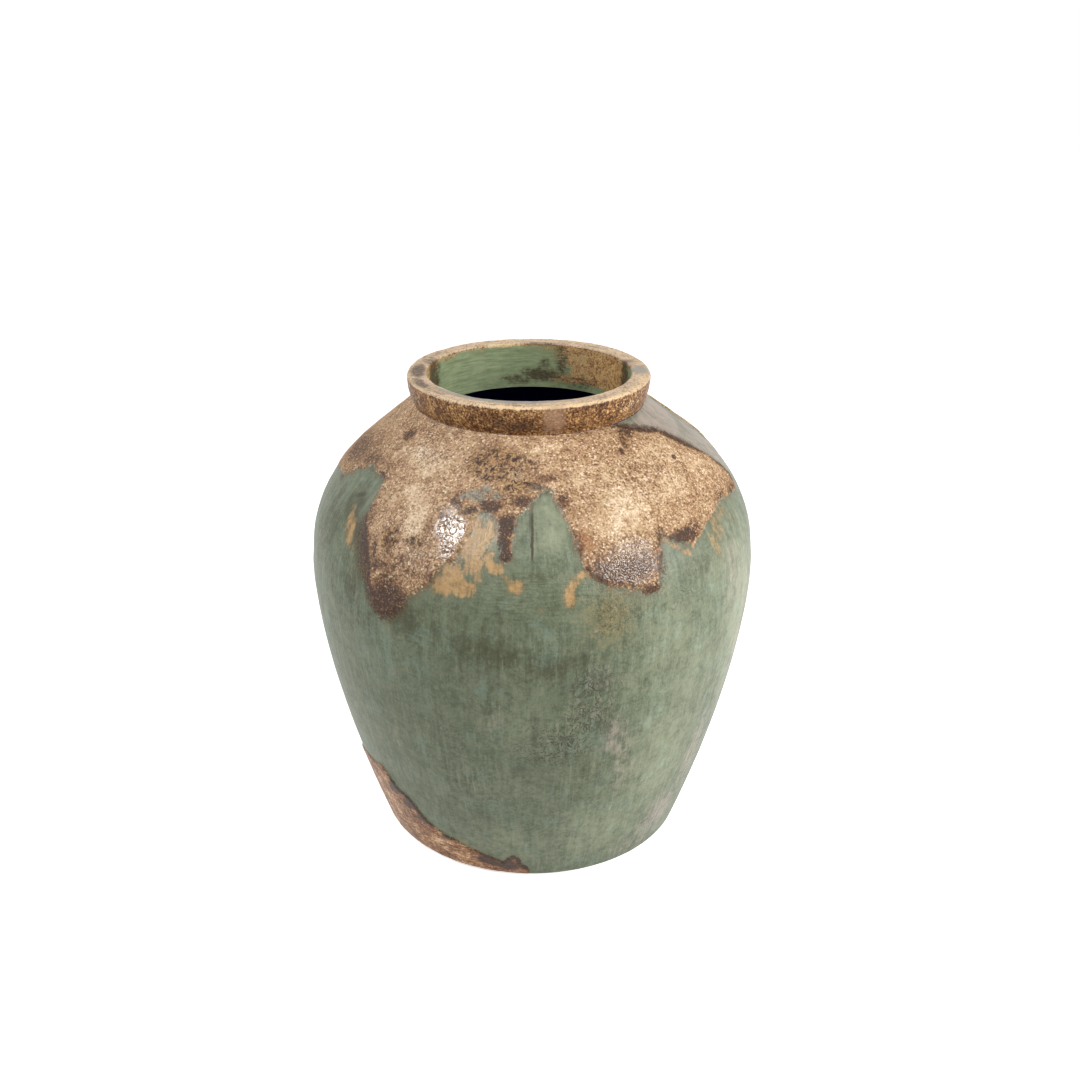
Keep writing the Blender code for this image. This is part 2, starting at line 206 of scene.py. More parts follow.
# Soft patches on the wall: bearing, height, half width, half height, tilt in degrees, strength
WALL_PATCHES = {
    "umber": (
        (-37, 256, 19, 13, 0, 1.3), (-34, 266, 15, 10, -25, 0.75), (-43.5, 281, 9, 30, 30, 0.55),
        # The thin strips beside the folds of the left lobe, (-42.6, 291) and the three rows after it, are
        # painted shade in the hollows next to the folds.
        (-49, 309, 8, 14, 0, 0.5), (-46.8, 285, 8, 28, 32, 1.5), (-42.6, 291, 2, 8, 16, 0.9),
        (-37.5, 283.5, 7, 1.8, -14, 0.9), (-41.6, 281, 2, 8, -36, 0.8), (-33.5, 291, 2, 6, 0, 0.8),
        (-42.0, 259, 6, 13, 24, 1.2), (-38.0, 295, 4, 5, 0, 0.75), (-38, 276, 20, 17, 0, 0.65),
        (-38, 298, 14, 11, 0, 0.5), (-32, 286, 18, 12, 0, 0.5), (-25, 283, 6, 9, 0, 0.5),
        (-29, 314, 5, 10, 0, 0.45), (-24.6, 318, 4, 7, 30, 0.8), (-84, 332, 34, 22, 0, 0.65),
        (-66, 334, 24, 8, 10, 0.55), (-76, 313, 8, 3, 0, 0.9), (-54, 330, 8, 5, 0, 0.6),
        (-23, 328.5, 7, 3, -35, 0.8), (-18.5, 325.5, 7, 3, 25, 0.9), (-14, 329.5, 6, 3, -20, 0.8),
        (-22, 333, 6, 5, 0, 0.6), (-12, 329, 8, 5, 0, 0.9), (-7.0, 319, 5.5, 8, 0, 1.2),
        (-7.4, 309, 4.2, 6, 6, 1.3), (-6.6, 302.5, 4.8, 4, 0, 1.35), (-3, 332, 9, 5, 0, 0.8),
        (1, 340, 9, 4, 0, 0.6), (6, 344, 12, 3.5, 0, 0.6), (25, 288, 34, 12, 0, 0.6),
        (17, 290, 10, 12, 0, 0.7), (33, 286, 8, 14, 0, 0.75), (29, 273, 12, 5, 0, 0.7),
        (35, 304, 5, 9, 0, 0.6), (42, 300.5, 15, 6, 0, 0.95), (47, 304, 8, 5, 0, 0.6),
        (12, 309, 5, 10, 0, 0.5), (9.6, 332, 5, 9, 0, 0.6), (12, 345, 8, 6, 0, 0.35),
        (57, 359.5, 25, 4.2, -26, 1.2), (72.5, 343, 25, 5, -55, 1.2), (83, 316, 22, 5.5, -62, 1.0),
        (84, 304, 10, 8, 0, 0.8), (66, 309, 12, 4, 0, 0.5), (76, 305, 12, 5, 0, 0.6),
        (30, 309, 8, 8, 0, 0.35), (-14, 357, 20, 8, 0, 0.45), (-59, 354.5, 6, 6, 20, 0.9),
        (46, 360, 6, 4, -30, 0.9), (42, 356, 3, 6, -20, 0.9), (38, 352, 2, 3, 0, 0.9),
        (59, 339.5, 2.5, 2, 0, 1.0), (37, 321, 3, 3, 0, 0.5), (-50, 341, 9, 7, 0, 0.45),
        (-55, 336, 10, 5, 0, 0.5), (-32, 340, 10, 5, 0, 0.35), (20, 322, 8, 8, 0, 0.3),
        (112, 290, 18, 14, 0, 0.9), (131, 312, 14, 10, 0, 0.7), (151, 274, 22, 15, 0, 1.0),
        (187, 298, 20, 13, 0, 0.9), (217, 275, 24, 15, 0, 1.0), (253, 295, 20, 13, 0, 0.9),
        (170, 345, 26, 12, 0, 0.45), (235, 352, 26, 12, 0, 0.45), (-47, 68, 13, 7, 40, 1.2),
        (-42.5, 57, 10, 7, 40, 1.2), (-37.5, 46, 8, 6, 30, 1.1), (-30, 32, 9, 4, 20, 0.7),
        (-16, 17, 9, 8, 8, 1.0), (-9, 13, 14, 9, 0, 0.9), (-4, 16, 8, 10, 0, 0.9),
        (-100, 34, 26, 10, 0, 0.9),
    ),
    "burnt": (
        (-13, 350, 22, 15, 0, 1.0), (-7, 320, 8, 10, 0, 0.3), (-23, 346, 10, 11, 0, 0.4),
        (-1, 350, 10, 11, 0, 0.7), (-8, 332, 8, 7, 0, 0.7), (-6, 340, 16, 8, 0, 0.8),
        (-39, 301, 8, 8, 0, 1.0), (-31, 303, 11, 6, 0, 0.7), (-36, 288, 16, 9, 0, 0.55),
        (-59, 354.5, 7, 7, 20, 0.8), (44, 358, 6, 8, -30, 0.7), (12, 345, 10, 6, 0, 0.4),
        (160, 345, 22, 14, 0, 0.8), (228, 348, 22, 14, 0, 0.8), (250, 304, 12, 9, 0, 0.7),
    ),
    "smear": (
        (-58, 316, 8, 2.5, 25, 1.0), (-56, 312, 6, 6, 34, 0.8), (-52.6, 297, 5.0, 24, 34, 0.8),
        (-46.5, 270, 4, 16, 30, 0.6), (-0.4, 322, 1.2, 12, 0, 1.1), (0.1, 306, 1.0, 10, 0, 1.0),
        (3, 300, 9, 2, 20, 0.4), (3, 270, 12, 5, 0, 0.35), (-62, 320, 8, 3, 0, 0.5),
        (-15, 285.5, 5, 1.5, 45, 0.6), (-42, 243, 7, 4, 0, 0.4), (12, 296, 3, 8, 0, 0.5),
        (-27, 264, 12, 5, -35, 0.4), (22, 273, 14, 4, 0, 0.5), (-1, 227, 5, 4, 0, 0.5),
        (16, 246, 8, 10, 0, 0.4), (16, 207, 11, 9, 0, 0.5), (62, 366, 14, 3, 0, 0.5),
        (88, 342, 10, 10, 0, 0.5), (15, 214, 14, 5, 0, 0.35), (-14, 172, 8, 12, 0, 0.35),
        (-26, 150, 8, 10, 0, 0.35),
    ),
    "fold": (
        (-41.3, 296, 1.8, 7, 14, 1.0), (-38.2, 302.5, 5.5, 1.8, 8, 0.9), (-35.3, 297, 1.7, 5, -10, 0.9),
        (-38.5, 287, 6, 1.7, -14, 1.0), (-39.5, 276.5, 2.0, 10, -50, 1.0), (-34.5, 281, 1.8, 8, -40, 0.7),
        (-30.5, 288, 5, 1.8, -20, 0.7), (215, 290, 2, 9, 20, 0.8), (219, 282, 6, 2, 10, 0.8),
    ),
    "cream": (
        (-55, 42, 6, 26, 40, 0.7), (-31, 26, 14, 4, 20, 0.8), (-24, 16, 14, 4, 10, 0.5),
        (-41, 345, 26, 13, 0, 0.8), (-36, 328, 11, 8, 0, 0.9), (-33, 314, 8, 15, 0, 1.0),
        (-24, 356, 16, 7, 0, 0.5), (27, 322, 24, 22, 0, 0.85), (24, 342, 30, 12, 0, 0.5),
        (47, 330, 26, 18, 0, 0.55), (55, 345, 24, 8, 0, 0.65), (79, 325, 10, 14, 0, 0.4),
        (66, 328, 22, 14, 0, 0.4), (5, 359, 26, 6, 0, 0.5), (-5, 345, 5, 4, 0, 0.7),
        (140, 335, 26, 16, 0, 0.8), (190, 330, 22, 18, 0, 0.8), (214, 320, 22, 20, 0, 0.8),
        (248, 334, 26, 14, 0, 0.8), (270, 340, 26, 12, 0, 0.7),
    ),
    "ochre": (
        (13.5, 309, 7, 9, 0, 1.1), (12, 329, 6, 8, 0, 0.6), (-62, 300, 4, 6, 0, 0.4),
        (-41, 296, 5, 10, 0, 0.5), (-32, 354, 10, 6, 0, 0.5), (-5, 345, 9, 6, 0, 0.5),
        (18, 260, 22, 26, 0, 0.95), (10, 276, 10, 6, 0, 0.6), (-60, 40, 30, 34, 0, 0.7),
        (-30, 20, 40, 14, 0, 0.8),
    ),
    "gloss": (
        (-22, 314, 12, 11, 0, 1.2), (-20.5, 303, 10, 9, 0, 1.2), (150, 300, 10, 12, 0, 1.0),
    ),
    "glint": (
        (24, 291, 24, 13, 0, 1.1), (26, 300, 18, 10, 0, 0.8), (-24, 322, 8, 8, 0, 0.6),
        (-30, 296, 16, 16, 0, 0.35), (-42, 349, 16, 8, 0, 0.45), (40, 338, 40, 20, 0, 0.3),
        (216, 284, 20, 14, 0, 0.8),
    ),
    "drip": (
        (0, 316, 6, 15, 0, 1.3),
    ),
    "thin": (
        (-17.5, 333.5, 10, 5, 0, 1.0), (-14.5, 337, 5, 4, 0, 0.9), (-21.5, 332, 4, 3, 0, 0.8),
        (-11, 334, 5, 4, 0, 0.9), (-62, 330, 10, 4, 0, 0.7), (2, 339, 8, 4, 0, 0.7),
        (200, 332, 10, 5, 0, 0.9),
    ),
    "buff": (
        (-15.6, 319, 6, 7, 0, 1.0), (-12.5, 315, 9, 11, 0, 0.8), (-15.0, 306, 9, 11, 0, 1.1),
        (-14.8, 296, 8, 9, 0, 0.85), (-11, 301, 5, 6, 0, 0.8), (-9.2, 295, 6.5, 4.5, -30, 1.0),
        (-13, 288, 5, 5, 0, 0.6), (-19.6, 288, 9, 8, 0, 1.0), (-21.5, 280, 8, 7, 0, 1.1),
        (-16.4, 280, 9, 6, 0, 1.05), (-3.9, 283.6, 5.5, 5, 0, 1.0), (-6, 288, 4, 3, -30, 0.55),
        (12, 290, 5.5, 3.0, 12, 0.9), (10, 285, 3, 5, -20, 0.8), (8.8, 276, 4, 8, 0, 0.95),
        (-54.8, 295, 6.0, 17, 34, 0.85), (35.5, 303, 6, 2.5, -38, 0.8), (38.5, 296, 8, 2.8, -38, 0.75),
        (41.6, 290, 6, 3.5, -30, 0.7), (44.5, 293, 5, 3, 45, 0.7), (48, 297, 6, 3, 30, 0.6),
        (56, 297, 10, 14, 0, 0.55), (53, 286, 8, 14, 0, 0.5), (62, 301, 8, 6, 0, 0.5),
        (2, 268, 4, 3, 0, 0.45), (66, 292, 6, 10, 0, 0.45), (109, 262, 14, 8, 0, 0.9),
        (126, 300, 9, 12, 0, 0.9), (160, 290, 10, 14, 0, 0.9), (168, 306, 14, 7, 0, 0.8),
        (200, 300, 10, 13, 0, 0.9), (229, 276, 9, 14, 0, 0.9), (243, 296, 9, 8, 0, 0.8),
        (264, 296, 12, 8, 0, 0.8),
    ),
    "olive": (
        (-60, 308, 16, 16, 0, 0.9), (-49, 264, 10, 26, 0, 0.9), (-68, 290, 20, 30, 0, 0.85),
        (-20, 264, 26, 12, 0, 0.3), (-10, 236, 26, 13, -10, 0.95), (5, 224, 26, 10, 15, 0.85),
        (-20, 244, 14, 10, -20, 0.6), (-8, 196, 26, 22, 0, 0.25), (12, 172, 14, 30, 0, 0.25),
        (-24, 150, 20, 26, 0, 0.3), (-4, 262, 30, 8, 0, 0.3), (-54, 262, 22, 24, 0, 0.5),
        (-47, 250, 14, 26, 0, 0.5), (46.5, 277, 7, 9, 0, 0.7), (-31, 250, 16, 14, 0, 0.9),
        (2, 234, 12, 12, 0, 0.6), (43, 277, 10, 12, 0, 0.4), (18, 262, 14, 12, 0, 0.9),
        (-60, 290, 16, 14, 0, 0.4), (12, 112, 18, 22, 0, 0.35), (0, 290, 14, 5, 0, 0.5),
        (-18, 333, 10, 5, 0, 0.7), (5, 338, 12, 4, 0, 0.8), (26, 262, 10, 8, 0, 0.5),
        (100, 200, 60, 60, 0, 0.5), (190, 190, 80, 60, 0, 0.6), (250, 150, 60, 60, 0, 0.4),
    ),
    "pale": (
        (5, 320, 18, 24, 0, 0.8), (0, 164, 34, 28, 0, 0.35), (0, 305, 20, 6, 0, 0.4),
        (-10, 306, 5, 14, 0, 0.6), (34, 232, 34, 54, 0, 0.62), (42, 190, 40, 70, 0, 0.6),
        (38, 120, 40, 80, 0, 0.7), (22, 50, 50, 40, 0, 0.6), (52, 268, 30, 26, 0, 0.6),
        (-8, 40, 50, 30, 0, 0.5), (-58, 120, 30, 80, 0, 0.2), (-14, 110, 30, 26, 0, 0.3),
        (64, 220, 40, 80, 0, 0.75), (130, 150, 60, 70, 0, 0.5), (-68, 324, 14, 5, 0, 0.3),
        (24, 205, 10, 26, 0, 0.5),
    ),
    "blush": (
        # The rows at bearings 56 to 88 lighten the jar's right edge and bare neck: a painted sheen, a
        # painted reflection of the white room. The other rows are pinkish grey patches of the glaze.
        (47, 40, 22, 26, 0, 0.8), (56, 90, 14, 50, 0, 0.7), (60, 258, 18, 44, 0, 0.6),
        (68, 180, 18, 100, 0, 0.6), (80, 214, 20, 90, 0, 0.45), (21, 150, 12, 22, 0, 0.7),
        (25, 118, 12, 30, 0, 0.55), (15.8, 208, 12, 11, 0, 0.65), (16, 180, 12, 8, 0, 0.5),
        (-35, 200, 3, 8, 0, 0.5), (-37, 150, 3, 5, 0, 0.5), (40, 15, 40, 14, 0, 0.5),
        (14.7, 250, 1.6, 1.6, 0, 1.2), (88, 330, 40, 46, 0, 0.9), (18, 172, 8, 8, 0, 0.6),
        (76, 355, 46, 18, 0, 1.5), (-10, 175, 10, 16, 0, 0.4), (-40, 130, 12, 20, 0, 0.4),
    ),
    "wrinkle": (
        (6, 152, 30, 22, 25, 1.0), (14, 206, 20, 16, 0, 1.0), (14, 176, 22, 22, 0, 0.9),
        (-22, 160, 14, 8, 0, 0.5), (38, 262, 14, 12, 0, 0.5), (-36, 175, 8, 20, 0, 0.5),
        (180, 180, 40, 40, 0, 0.6), (-6, 226, 30, 10, 0, 0.4),
    ),
    "level": (
        (0, 276, 46, 16, 0, 1.0), (-30, 240, 20, 14, 0, 0.5), (40, 250, 20, 14, 0, 0.5),
        (180, 270, 60, 20, 0, 0.8),
    ),
}

# Soft patches on the collar: bearing, place along its section, half width, half height, tilt, strength
LIP_UMBER_AND_SHADE = (
    # The first row darkens the foot of the band all round: painted shade under the band. The rows at 67 to
    # 78 along the section darken the inside of the mouth low down.
    (0, 2, 300, 3, 0, 0.4), (-20, 11, 10, 9, 0, 0.35), (62, 10, 30, 7, 0, 0.45), (-4, 8, 18, 6, 0, 0.8),
    (-14, 11, 5, 6, 0, 0.75), (24, 7, 24, 4, 0, 0.6), (106, 56, 11, 26, 0, 1.1),
    (160, 54, 9, 24, 0, 0.75), (172, 67, 26, 7, 0, 0.95), (186, 71, 24, 6, 0, 0.75),
    (170, 58, 8, 7, 0, 0.8), (253, 54, 16, 26, 0, 1.0), (-88, 12, 30, 8, 0, 0.6),
    (150, 71, 26, 7, 0, 0.75), (150, 44, 30, 3, 0, 0.5), (140, 12, 50, 8, 0, 0.6),
    (220, 12, 40, 8, 0, 0.6), (172, 39, 30, 3, 0, 0.8), (-66, 29, 22, 5, 0, 0.9),
    (-88, 32, 24, 7, 0, 1.05), (-48, 29, 14, 3, 0, 0.6), (-30, 38, 40, 1.6, 0, 0.7),
    (30, 38.5, 50, 1.2, 0, 0.5), (36, 29, 10, 2.5, 0, 0.6), (58, 31, 14, 3, 0, 0.5),
    (2, 29, 10, 2, 0, 0.4), (-118, 32, 24, 5, 0, 0.6), (140, 33, 20, 4, 0, 0.6), (184, 34, 24, 3, 0, 0.5),
    (-40, 78, 90, 22, 0, 0.7), (40, 78, 60, 22, 0, 0.7),
)
LIP_GREEN = (
    (207, 62, 66, 22, 0, 1.3), (95, 60, 17, 22, 0, 1.3), (148, 77, 30, 5, 0, 1.3),
    (-30, 62, 80, 22, 0, 1.3), (40, 62, 80, 22, 0, 1.3),
)
LIP_CREAM_AND_HIGHLIGHT_LINE = (
    # The rows at 24 to 24.5 along the section run round the front of the lip's rounded outer edge and are a
    # painted highlight there. The other rows lighten the lip in cream patches.
    (0, 24.0, 70, 1.7, 0, 1.0), (34, 24.5, 70, 1.7, 0, 0.95), (-44, 24.5, 60, 1.8, 0, 0.6),
    (160, 30, 90, 4.0, 0, 0.6), (196, 40, 26, 2.0, 0, 1.0), (70, 27, 40, 4.0, 0, 0.7),
    (-80, 27, 40, 4.0, 0, 0.4), (52, 14, 26, 5, 0, 0.5),
)
LIP_GREY = (
    (-16, 35, 56, 3.6, 0, 1.1), (90, 32, 13, 8, 0, 1.0), (-44, 34, 26, 3.5, 0, 0.8),
    (24, 34, 30, 2.4, 0, 0.6),
)
LIP_SMOOTH = ((11.5, 13, 9, 12, 0, 1.0),)


def tone(red, green, blue):
    """A paint colour given as display values from 0 to 255."""
    linear = []
    for value in (red, green, blue):
        share = value / 255
        linear.append(share / 12.92 if share <= 0.04045 else ((share + 0.055) / 1.055) ** 2.4)
    return (*linear, 1.0)


GREEN_DEEP = tone(78, 86, 64)
GREEN_MID = tone(126, 134, 110)
GREEN_LIGHT = tone(154, 160, 132)
TEAL = tone(124, 145, 130)
OLIVE_WASH = tone(64, 62, 38)
GREY_BLUSH_AND_SHEEN = tone(184, 164, 154)
STROKE_PALE = tone(188, 176, 146)
OLIVE_GOLD = tone(136, 128, 92)
BUFF_LIGHT = tone(190, 153, 104)
BUFF_DARK = tone(146, 118, 78)
SAND_RAMP = (
    (0.0, tone(62, 36, 18)),
    (0.25, tone(126, 88, 54)),
    (0.5, tone(184, 148, 108)),
    (0.75, tone(221, 195, 161)),
    (1.0, tone(250, 235, 211)),
)
UMBER_DARK = tone(40, 25, 16)
CRUST_DARK = tone(52, 29, 11)
UMBER_FLECK = tone(132, 98, 70)
SAND_OLIVE = tone(166, 146, 104)
SAND_PINK = tone(190, 148, 124)
TEAL_LIGHT = tone(146, 168, 150)
SMEAR_DARK = tone(56, 50, 34)
SCALE_GREY = tone(136, 128, 104)
UMBER_MID = tone(92, 64, 45)
GOLD_LUMP = tone(212, 166, 104)
BURNT_RED = tone(98, 60, 42)
OCHRE = tone(150, 96, 50)
DROP_PALE_AND_HIGHLIGHT = tone(176, 150, 118)
GLINT_BROWN = tone(86, 62, 44)
RUST_RAMP = (
    (0.05, tone(76, 46, 30)),
    (0.42, tone(134, 86, 50)),
    (0.75, tone(182, 134, 90)),
    (1.0, tone(228, 196, 154)),
)
PURPLE_UMBER = tone(50, 32, 26)
LIP_TAN = tone(220, 192, 158)
LIP_TAN_SHADE = tone(146, 114, 84)
LIP_CREAM_AND_HIGHLIGHT = tone(236, 206, 158)
LIP_BLUE_GREY = tone(142, 142, 134)
BAND_DARK = tone(38, 22, 12)
BAND_BROWN = tone(124, 80, 42)
BAND_GOLD = tone(218, 174, 114)
SMOOTH_PINK = tone(158, 126, 102)
INNER_GREEN = tone(156, 168, 130)
INNER_GREEN_SHADE = tone(118, 132, 98)
INNER_GOLD = tone(220, 176, 118)
# Painted shade: the inside of the jar is coloured nearly black with a blue tint.
HOLLOW_SHADE_BLACK = tone(16, 18, 100)
CLAY_BARE = tone(170, 140, 108)
CLAY_SHADE = tone(122, 96, 70)
FLOOR_WHITE = (0.80, 0.80, 0.80, 1.0)

# Gloss of the finishes
MIRROR = 0.19
CRUST_MIRROR = 0.26
GLAZE_ROUGHNESS = 0.40
CRUST_DULLNESS = 0.34
LIP_ROUGHNESS = 0.42
HOLLOW_ROUGHNESS = 0.55
CLAY_ROUGHNESS = 0.88

# Noises of the finishes: size in millimetres, detail and twist
GLAZE_NOISES = {
    "cloud": (34, 3, 0.0),
    "blotch": (14, 4, 0.0),
    "patchy": (5, 5, 0.0),
    "small": (2.2, 4, 0.0),
    "fine": (1.0, 3, 0.0),
    "bead": (1.5, 2, 0.0),
    "cast": (11, 3, 0.6),
    "curl": (6.5, 2, 2.0),
    "crinkle": (17.0, 2, 3.0),
}
LIP_NOISES = {"blotch": (9, 4, 0.0), "patchy": (3.6, 5, 0.0), "fine": (1.6, 4, 0.0), "bead": (1.6, 2, 0.0)}
GLAZE_GRAIN = 1.2
LIP_GRAIN = 1.15
NOISE_ROUGHNESS = 0.6
NOISE_GAIN = 2.6

# Brush marks on the glaze: size in millimetres, detail and scale each way, small where they are drawn out
GLAZE_STROKES = {
    "streak": (5, 4, (1.0, 1.0, 0.13)),
    "hair": (1.5, 3, (1.0, 1.0, 0.12)),
    "stroke": (1.8, 4, (0.14, 0.14, 1.0)),
}


def curve_through(table, place):
    """Read a table of (place, value) pairs as one smooth curve, for an array of places."""
    knots = np.array(table, float)
    count = len(knots)
    before = knots[np.maximum(np.arange(count) - 1, 0)]
    after = knots[np.minimum(np.arange(count) + 1, count - 1)]
    slopes = (after[:, 1] - before[:, 1]) / (after[:, 0] - before[:, 0])
    index = np.clip(np.searchsorted(knots[:, 0], place) - 1, 0, count - 2)
    span = knots[index + 1, 0] - knots[index, 0]
    t = (place - knots[index, 0]) / span
    return (
        knots[index, 1] * (1 + 2 * t) * (1 - t) ** 2
        + knots[index + 1, 1] * t * t * (3 - 2 * t)
        + slopes[index] * span * t * (1 - t) ** 2
        - slopes[index + 1] * span * t * t * (1 - t)
    )


def wall_radius(height):
    """Outside radius of the clay wall at each height."""
    to_come = np.clip(1 - height / BELLY_HEIGHT, 0, 1) ** FLARE_POWER
    lower = BELLY_RADIUS - (BELLY_RADIUS - FOOT_RADIUS) * to_come
    rise = np.clip((height - BELLY_HEIGHT) / SHOULDER_RISE, 0, 1)
    upper = BELLY_RADIUS - (BELLY_RADIUS - NECK_RADIUS) * curve_through(SHOULDER_SHARES, rise)
    return np.where(height <= BELLY_HEIGHT, lower, upper)


def wall_slope(height):
    """How much the outside radius grows with height."""
    low = np.maximum(height - SLOPE_REACH, 0.0)
    high = np.minimum(height + SLOPE_REACH, NECK_HEIGHT)
    return (wall_radius(high) - wall_radius(low)) / (high - low)


def inner_radius(height):
    """Inside radius of the wall."""
    return wall_radius(height) - WALL_THICKNESS * np.hypot(1.0, wall_slope(height))


FINE_HEIGHTS = np.linspace(0.0, NECK_HEIGHT, OUTLINE_SAMPLES)
FINE_STEPS = np.hypot(np.diff(FINE_HEIGHTS), np.diff(wall_radius(FINE_HEIGHTS)))
FINE_ARC = np.concatenate([[0.0], np.cumsum(FINE_STEPS)])


def arc_at(height):
    """Length of the outline from the ground to each height."""
    return np.interp(height, FINE_HEIGHTS, FINE_ARC)


def rows_up(low, high, step):
    """Heights from low to high, evenly spaced along the outline."""
    start, end = arc_at(low), arc_at(high)
    count = max(int(round((end - start) / step)), 1)
    heights = np.interp(np.linspace(start, end, count + 1), FINE_ARC, FINE_HEIGHTS)
    heights[0], heights[-1] = low, high
    return heights


# Whole numbers that give each corner of the lumps' lattice its own value
SCATTER = np.array((73856093, 19349663, 83492791))
SEED_STEP = 2654435
SCRAMBLE = 1274126177
SEED_SHIFT = 7.31


def lumps(points, size, seed):
    """Smooth noise from -1 to 1 at points of an (..., 3) array, with lumps about that size across."""
    scaled = points / size + seed * SEED_SHIFT
    cell = np.floor(scaled).astype(np.int64)
    part = scaled - cell
    ease = part * part * (3 - 2 * part)
    total = 0.0
    for corner in itertools.product((0, 1), repeat=3):
        scattered = (cell + np.array(corner)) * SCATTER
        code = scattered[..., 0] ^ scattered[..., 1] ^ scattered[..., 2]
        code = (code + seed * SEED_STEP) & 0xFFFFFFFF
        code = ((code ^ (code >> 13)) * SCRAMBLE) & 0xFFFFFFFF
        value = ((code ^ (code >> 16)) & 0xFFFF) / 32767.5 - 1.0
        weight = np.prod(np.where(np.array(corner) == 1, ease, 1 - ease), axis=-1)
        total = total + value * weight
    return total


def layered_lumps(points, size, seed, layers=3):
    """Noise with finer and finer layers added to it."""
    total, share = 0.0, 1.0
    for layer in range(layers):
        total = total + share * lumps(points, size / 2 ** layer, seed + layer * 5)
        share /= 2
    return total / (2 - 2 * share)


def eased(value, start, end):
    """From 0 at start to 1 at end, without a corner."""
    t = np.clip((value - start) / (end - start), 0, 1)
    return t * t * (3 - 2 * t)


def bearing_gap(bearing, centre):
    """Degrees from a centre to each bearing, the short way round."""
    return (bearing - centre + 180.0) % 360.0 - 180.0


def bearings(columns):
    """Bearings of a grid's columns, as one row."""
    return np.arange(columns)[None, :] * 360.0 / columns - 180.0


def around(bearing, radius, height):
    """Points at bearings, radii and heights."""
    turn = np.radians(bearing)
    return np.stack(np.broadcast_arrays(radius * np.sin(turn), -radius * np.cos(turn), height), -1)


def painted(patches, bearing, along, radius, square=2.0):
    """Strength from 0 to 1 of soft patches, each given with its place along the section."""
    total = np.zeros(np.broadcast(bearing, along).shape)
    for centre, place, wide, high, tilt, strength in patches:
        across = np.radians(bearing_gap(bearing, centre)) * radius
        up = along - place
        cosine, sine = math.cos(math.radians(tilt)), math.sin(math.radians(tilt))
        turned_across = np.abs(across * cosine + up * sine) / wide
        turned_up = np.abs(up * cosine - across * sine) / high
        spread = (turned_across ** square + turned_up ** square) ** (PATCH_FALL_POWER / square)
        total = np.maximum(total, strength * np.exp(-PATCH_FALL * spread))
    return np.clip(total, 0, 1)


def on_wall(patches):
    """The same patches with each height turned into the length of the outline up to it."""
    return [(p[0], float(arc_at(p[1])), *p[2:]) for p in patches]


def edge_height(table, bearing):
    """Height of a ragged edge at each bearing. A table that isn't closed starts and ends at one height."""
    knots = np.array(table, float)
    start = knots[0, 0]
    return np.interp((bearing - start) % 360.0 + start, knots[:, 0], knots[:, 1])


EDGE_BEARINGS = np.linspace(-180.0, 180.0, EDGE_SAMPLES, endpoint=False)


def edge_points(heights, where):
    """Points on the wall along an edge, with the steep stretches filled in."""
    found = []
    for share in (0.0, 0.25, 0.5, 0.75):
        between = heights * (1 - share) + np.roll(heights, -1) * share
        bearing = EDGE_BEARINGS + share * 360.0 / EDGE_SAMPLES
        inside = where & np.roll(where, -1) & (between > 0) & (between < NECK_HEIGHT)
        found.append(around(bearing, wall_radius(between), between)[inside])
    return np.concatenate(found)


def distance_to(points, edges):
    """Distance from each point to the nearest of the edge points, up to the field's reach."""
    flat = points.reshape(-1, 3).astype(np.float32)
    edges = edges[np.argsort(edges[:, 0])].astype(np.float32)
    nearest = np.full(len(flat), FIELD_REACH, np.float32)
    rank = np.argsort(flat[:, 0])
    for chunk in np.array_split(rank, max(len(flat) // NEAREST_CHUNK, 1)):
        part = flat[chunk]
        low = np.searchsorted(edges[:, 0], part[:, 0].min() - FIELD_REACH)
        high = np.searchsorted(edges[:, 0], part[:, 0].max() + FIELD_REACH)
        if high <= low:
            continue
        near = edges[low:high]
        square = (part ** 2).sum(1)[:, None] + (near ** 2).sum(1)[None, :] - 2 * part @ near.T
        nearest[chunk] = np.minimum(np.sqrt(np.maximum(square.min(1), 0)), FIELD_REACH)
    return nearest.reshape(points.shape[:-1]).astype(float)


def crust_fields(bearing, height):
    """Distance inside the shoulder crust and inside the foot crust, below nought outside them."""
    low, high, foot = (edge_height(table, EDGE_BEARINGS) for table in (CRUST_EDGE, BARE_EDGE, FOOT_EDGE))
    covered = low < high
    shoulder_edges = np.concatenate([edge_points(low, covered), edge_points(high, covered)])
    points = around(bearing, wall_radius(height), height)
    shift = CRUST_EDGE_RAGGED * layered_lumps(points, CRUST_EDGE_RAGGED_SIZE, 3)
    inside = (height > edge_height(CRUST_EDGE, bearing)) & (height < edge_height(BARE_EDGE, bearing))
    shoulder = np.where(inside, 1.0, -1.0) * distance_to(points, shoulder_edges)
    below = height < edge_height(FOOT_EDGE, bearing)
    foot_field = np.where(below, 1.0, -1.0) * distance_to(points, edge_points(foot, foot > 0))
    return shoulder + shift, foot_field + shift * FOOT_RAGGED_SHARE


def wall_fields(bearing, height):
    """Every field that the glaze is painted from, at places on the wall."""
    along, radius = arc_at(height), wall_radius(height)
    shoulder, foot = crust_fields(bearing, height)
    fields = {"crust": shoulder, "rust": foot}
    for name, patches in WALL_PATCHES.items():
        fields[name] = painted(on_wall(patches), bearing, along, radius)
    fields["place"] = around(bearing, BELLY_RADIUS, along) * MM
    return fields


